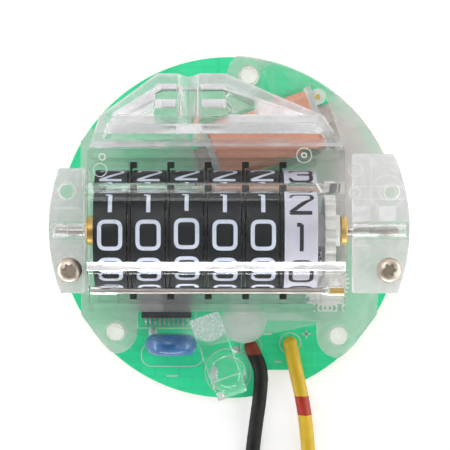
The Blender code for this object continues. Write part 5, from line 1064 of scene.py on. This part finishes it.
def subtract(solid, tool):
    """Cuts one bmesh out of another."""
    holders = []
    for shape in (solid, tool):
        mesh = bpy.data.meshes.new("boolean")
        shape.to_mesh(mesh)
        shape.free()
        holders.append(placed("boolean", mesh))
    step = holders[0].modifiers.new("cut", "BOOLEAN")
    step.operation = "DIFFERENCE"
    step.solver = "EXACT"
    step.object = holders[1]
    graph = bpy.context.evaluated_depsgraph_get()
    result = bmesh.new()
    result.from_object(holders[0], graph)
    for holder in holders:
        bpy.data.objects.remove(holder)
    return result


# Clear parts

PANEL_DEPTH = 1.0 * MM
# The window pocket's upper end, and the slope and bend radius before and after it is eased
POCKET_END, POCKET_DEPTH = 5.89 * MM, 1.1 * MM
CAD_SLOPE, CAD_BEND = math.radians(34), 3.0 * MM
EASED_SLOPE, EASED_BEND = math.radians(30.5), 2.63 * MM


def make_clear_parts(sizes):
    """The clear plate, cover, hood and pipe, the frosted shaft caps, and their fine marks."""
    softened("back_plate", sizes.edge, "hazy")
    softened("front_cover", sizes.edge, "cover", reshape=ease_window)
    softened("light_hood", sizes.edge, "hood")
    softened("light_pipe", sizes.edge, "pipe")
    for side in ("left", "right"):
        softened(f"{side}_shaft_cap", 0.25 * MM, "frosted")
    make_light_steps()
    make_mould_marks()
    make_cap_ribs()
    make_coil_tray()


def make_cap_ribs():
    """Fine raised ribs on the caps: left, right, low and high side of each."""
    bars = ((16.6, 23.0, 5.41, 5.54), (16.6, 23.3, 3.74, 3.87), (18.83, 18.94, 2.9, 9.2),
            (16.6, 18.8, 0.9, 2.87), (19.88, 22.13, 0.9, 2.87), (16.6, 18.8, -2.4, -2.3),
            (-23.4, -19.7, 2.55, 2.66), (-22.9, -19.7, 7.6, 7.68))
    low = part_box("right_shaft_cap")[1][2]
    whole = bmesh.new()
    for left, right, near, far in bars:
        bar = pill((left + right) / 2 * MM, (near + far) / 2 * MM, (right - left) * MM, (far - near) * MM,
                   0.05 * MM, 3)
        added(whole, flat_shape([bar], low, low + 0.04 * MM))
    settle(whole, "cap_ribs", "frame", "ridge")


def make_coil_tray():
    """The thin clear floor under the coil, above the board."""
    centre = middle("coil_winding")
    tray = flat_shape([pill(0, 0, 18.5 * MM, 10.0 * MM, 0.5 * MM)], 1.66 * MM, 1.86 * MM)
    turn = Matrix.Rotation(math.radians(COIL_DEGREES), 3, "Z")
    bmesh.ops.rotate(tray, verts=tray.verts, cent=(0, 0, 0), matrix=turn)
    bmesh.ops.translate(tray, verts=tray.verts, vec=(centre.x, centre.y, 0))
    settle(tray, "coil_tray", "frame", "hazy")


def window_bend(slope, radius, end, front, depth, steps=4):
    """The upper end of the window's pocket in Y and Z: flat first, then bent down to its full slope."""
    start = end - (depth - radius * (1 - math.cos(slope))) / math.tan(slope) - radius * math.sin(slope)
    angles = (slope * step / steps for step in range(steps + 1))
    return [Vector((start + radius * math.sin(a), front - radius * (1 - math.cos(a)))) for a in angles]


def ease_window(shape):
    """Gives the upper end of the window's pocket a longer and gentler slope, so the coil shows through it."""
    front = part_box("front_cover")[1][2] - PANEL_DEPTH
    before, after = (window_bend(slope, bend, POCKET_END, front, POCKET_DEPTH)
                     for slope, bend in ((CAD_SLOPE, CAD_BEND), (EASED_SLOPE, EASED_BEND)))
    moved = 0
    for vert in shape.verts:
        for old, new in zip(before, after):
            if (vert.co.yz - old).length < 0.02 * MM:
                vert.co.yz = new
                moved += 1
                break
    if moved < 2 * len(before):
        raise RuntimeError("the window's pocket has no bend to ease")


def section_bar(points, left, right):
    """A solid bar along X, from its outline in Y and Z."""
    shape = flat_shape([points], left, right)
    bmesh.ops.rotate(shape, verts=shape.verts, cent=(0, 0, 0), matrix=Matrix(((0, 0, 1), (1, 0, 0), (0, 1, 0))))
    return shape


def make_light_steps():
    """The hood's stepped prisms, on both sides of its trough. Each throws light out through the side."""
    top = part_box("light_hood")[1][2] - 0.02 * MM
    whole = bmesh.new()
    bars = [(left, right, low, high) for left, right in ((-9.75, -7.08), (-3.62, -0.43))
            for low, high in ((15.73, 16.92), (18.16, 19.00))]
    bars += [(-16.2, 12.4, 12.38, 13.70), (-15.6, -9.9, 13.8, 14.9), (-0.2, 11.8, 13.8, 14.9),
             (-17.6, -8.2, 10.55, 11.3)]
    for left, right, low, high in bars:
        drop = (high - low) * MM
        section = [(low * MM, top), (high * MM, top), (high * MM, top - drop)]
        added(whole, section_bar(section, left * MM, right * MM))
    settle(whole, "light_steps", "frame", "clear")


def make_mould_marks():
    """Ejector marks and gate rings on the clear mouldings: X, Y, height, outer and inner radius."""
    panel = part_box("front_cover")[1][2] - PANEL_DEPTH
    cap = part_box("right_shaft_cap")[1][2]
    plate = 4.8 * MM
    marks = ((-16.78, 7.49, panel, 0.92, 0.8), (-22.33, -0.31, cap, 0.9, 0.8), (-16.5, 9.2, panel, 0.5, 0.3),
             (9.7, 9.4, panel, 1.02, 0.9), (9.7, 9.4, panel, 0.4, 0.2), (14.37, 15.28, plate, 0.7, 0.55), (16.7, 4.62, cap, 0.85, 0.55),
             (16.75, 7.7, cap, 0.95, 0.84), (21.0, 4.7, cap, 2.3, 2.2), (-21.5, 4.9, cap, 1.15, 1.03),
             (21.05, 4.7, cap, 1.1, 1.0), (2.08, -13.12, plate, 0.6, 0.0), (2.08, -13.12, plate, 1.3, 1.2))
    whole = bmesh.new()
    for x, y, height, outer, inner in marks:
        rise = 0.03 * MM
        profile = [(outer * MM, 0.0), (outer * MM, rise), (inner * MM, rise), (inner * MM, 0.0)]
        added(whole, turned_shape(profile, (x * MM, y * MM, height), (0, 0, 1)))
    settle(whole, "mould_marks", "frame", "ridge")


# Stage

def make_camera(stage):
    camera = bpy.data.cameras.new("camera")
    camera.sensor_fit = "HORIZONTAL"
    camera.angle = stage.angle
    camera.clip_start = 0.01
    camera.clip_end = 10.0
    holder = placed("camera", camera)
    holder.location = (stage.camera_x, stage.camera_y, stage.distance)
    bpy.context.scene.camera = holder


def lamp(name, place, target, size, power):
    """A rectangular soft lamp that faces a point."""
    data = bpy.data.lights.new(name, "AREA")
    data.shape = "RECTANGLE"
    data.size, data.size_y = size
    data.energy = power
    holder = placed(name, data)
    holder.location = place
    holder.rotation_euler = (Vector(target) - Vector(place)).to_track_quat("-Z", "Y").to_euler()


def seen_rays(tree):
    """One where the ray comes from the camera, a mirror or glass."""
    path = node(tree, "ShaderNodeLightPath").outputs
    first = maths(tree, "MAXIMUM", path["Is Camera Ray"], path["Is Glossy Ray"])
    return maths(tree, "MAXIMUM", first, path["Is Transmission Ray"])


def make_stage(stage):
    """The pale floor, the even sky and the lamps."""
    scene = bpy.context.scene
    scene.view_settings.view_transform = "Standard"
    world = bpy.data.worlds.new("sky")
    scene.world = world
    world.use_nodes = True
    tree = world.node_tree
    sky = tree.nodes["Background"]
    place = node(tree, "ShaderNodeTexCoord")
    way = node(tree, "ShaderNodeSeparateXYZ", {0: place.outputs["Generated"]})
    sides = between(tree, way.outputs["Z"], 0.92, 0.5, stage.overhead, 1.0, interpolation_type="SMOOTHSTEP")
    strength = between(tree, seen_rays(tree), 0.0, 1.0, stage.sky, 1.0)
    plug(tree, sky, {"Color": (1, 1, 1, 1), "Strength": maths(tree, "MULTIPLY", sides, strength)})
    floor_shape = bmesh.new()
    bmesh.ops.create_grid(floor_shape, x_segments=1, y_segments=1, size=2.0)
    bmesh.ops.translate(floor_shape, verts=floor_shape.verts, vec=(0, 0, -0.02 * MM))
    mesh = bpy.data.meshes.new("floor")
    floor_shape.to_mesh(mesh)
    floor_shape.free()
    made, tree, shader = blank("floor")
    plug(tree, shader, {"Base Color": (0.8, 0.8, 0.8, 1), "Roughness": 0.9, "Specular IOR Level": 0.0,
                        "Emission Color": (1, 1, 1, 1),
                        "Emission Strength": between(tree, seen_rays(tree), 0.0, 1.0, 0.0, 0.5)})
    mesh.materials.append(made)
    placed("floor", mesh)
    lamp("key", (-0.12, 0.22, 0.45), (0, 0, 0.01), (0.3, 0.3), stage.key)
    lamp("fill", (0.3, -0.1, 0.4), (0, 0, 0.01), (0.3, 0.3), stage.key * 0.5)
    for name, place, size in (("lower strip", (0, -0.22, 0.03), (0.3, 0.02)),
                              ("left strip", (-0.22, 0.0, 0.05), (0.3, 0.03)),
                              ("right strip", (0.22, 0.0, 0.05), (0.3, 0.03))):
        lamp(name, place, (0, 0, 0.02), size, stage.sides)


# Operators and panel

class METER_OT_camera(bpy.types.Operator):
    """Place the camera in front of the drums"""
    bl_idname = "meter.camera"
    bl_label = "Camera"

    def execute(self, context):
        make_camera(context.scene.meter_stage)
        return {"FINISHED"}


class METER_OT_leads(bpy.types.Operator):
    """Make the two leads and their tinned ends"""
    bl_idname = "meter.leads"
    bl_label = "Leads"

    def execute(self, context):
        make_lead("black", BLACK_ROUTE, context.scene.meter_sizes)
        make_lead("yellow", YELLOW_ROUTE, context.scene.meter_sizes)
        return {"FINISHED"}


class METER_OT_board(bpy.types.Operator):
    """Make the board with its pads and legend"""
    bl_idname = "meter.board"
    bl_label = "Circuit board"

    def execute(self, context):
        make_board()
        return {"FINISHED"}


class METER_OT_board_parts(bpy.types.Operator):
    """Make the chip, crystal, surge disc and lamp"""
    bl_idname = "meter.board_parts"
    bl_label = "Parts on the board"

    def execute(self, context):
        make_chip()
        make_disc()
        make_lamp()
        softened("quartz_crystal", 0.08 * MM, "nickel")
        return {"FINISHED"}


class METER_OT_motor(bpy.types.Operator):
    """Finish the motor, its coil and the gears"""
    bl_idname = "meter.motor"
    bl_label = "Motor and gears"

    def execute(self, context):
        make_motor()
        return {"FINISHED"}


class METER_OT_drums(bpy.types.Operator):
    """Make the drums' bands and digits"""
    bl_idname = "meter.drums"
    bl_label = "Drums"

    def execute(self, context):
        make_drums(context.scene.meter_sizes)
        return {"FINISHED"}


class METER_OT_shaft(bpy.types.Operator):
    """Make the shaft, its collars, the rod and the screws"""
    bl_idname = "meter.shaft"
    bl_label = "Shaft and screws"

    def execute(self, context):
        make_shaft()
        make_screws()
        return {"FINISHED"}


class METER_OT_clear_parts(bpy.types.Operator):
    """Make the clear and frosted mouldings"""
    bl_idname = "meter.clear_parts"
    bl_label = "Clear parts"

    def execute(self, context):
        make_clear_parts(context.scene.meter_sizes)
        return {"FINISHED"}


class METER_OT_stage(bpy.types.Operator):
    """Make the floor, sky and lamps"""
    bl_idname = "meter.stage"
    bl_label = "Stage"

    def execute(self, context):
        make_stage(context.scene.meter_stage)
        return {"FINISHED"}


class METER_PT_panel(bpy.types.Panel):
    """Lists the pieces of the hour meter movement"""
    bl_idname = "METER_PT_panel"
    bl_label = "Hour meter"
    bl_space_type = "VIEW_3D"
    bl_region_type = "UI"
    bl_category = "Meter"

    def draw(self, context):
        for operator in OPERATORS:
            self.layout.operator(operator.bl_idname)


OPERATORS = (METER_OT_camera, METER_OT_leads, METER_OT_board, METER_OT_board_parts, METER_OT_motor, METER_OT_drums,
             METER_OT_shaft, METER_OT_clear_parts, METER_OT_stage)
CLASSES = (MeterSizes, MeterColours, StageSettings, *OPERATORS, METER_PT_panel)


def register():
    for kind in CLASSES:
        bpy.utils.register_class(kind)
    bpy.types.Scene.meter_sizes = PointerProperty(type=MeterSizes)
    bpy.types.Scene.meter_colours = PointerProperty(type=MeterColours)
    bpy.types.Scene.meter_stage = PointerProperty(type=StageSettings)


def unregister():
    del bpy.types.Scene.meter_stage
    del bpy.types.Scene.meter_colours
    del bpy.types.Scene.meter_sizes
    for kind in reversed(CLASSES):
        bpy.utils.unregister_class(kind)


def main():
    register()
    bpy.ops.meter.camera()
    bpy.ops.meter.leads()
    bpy.ops.meter.board()
    bpy.ops.meter.board_parts()
    bpy.ops.meter.motor()
    bpy.ops.meter.drums()
    bpy.ops.meter.shaft()
    bpy.ops.meter.clear_parts()
    bpy.ops.meter.stage()


if __name__ == "__main__":
    main()
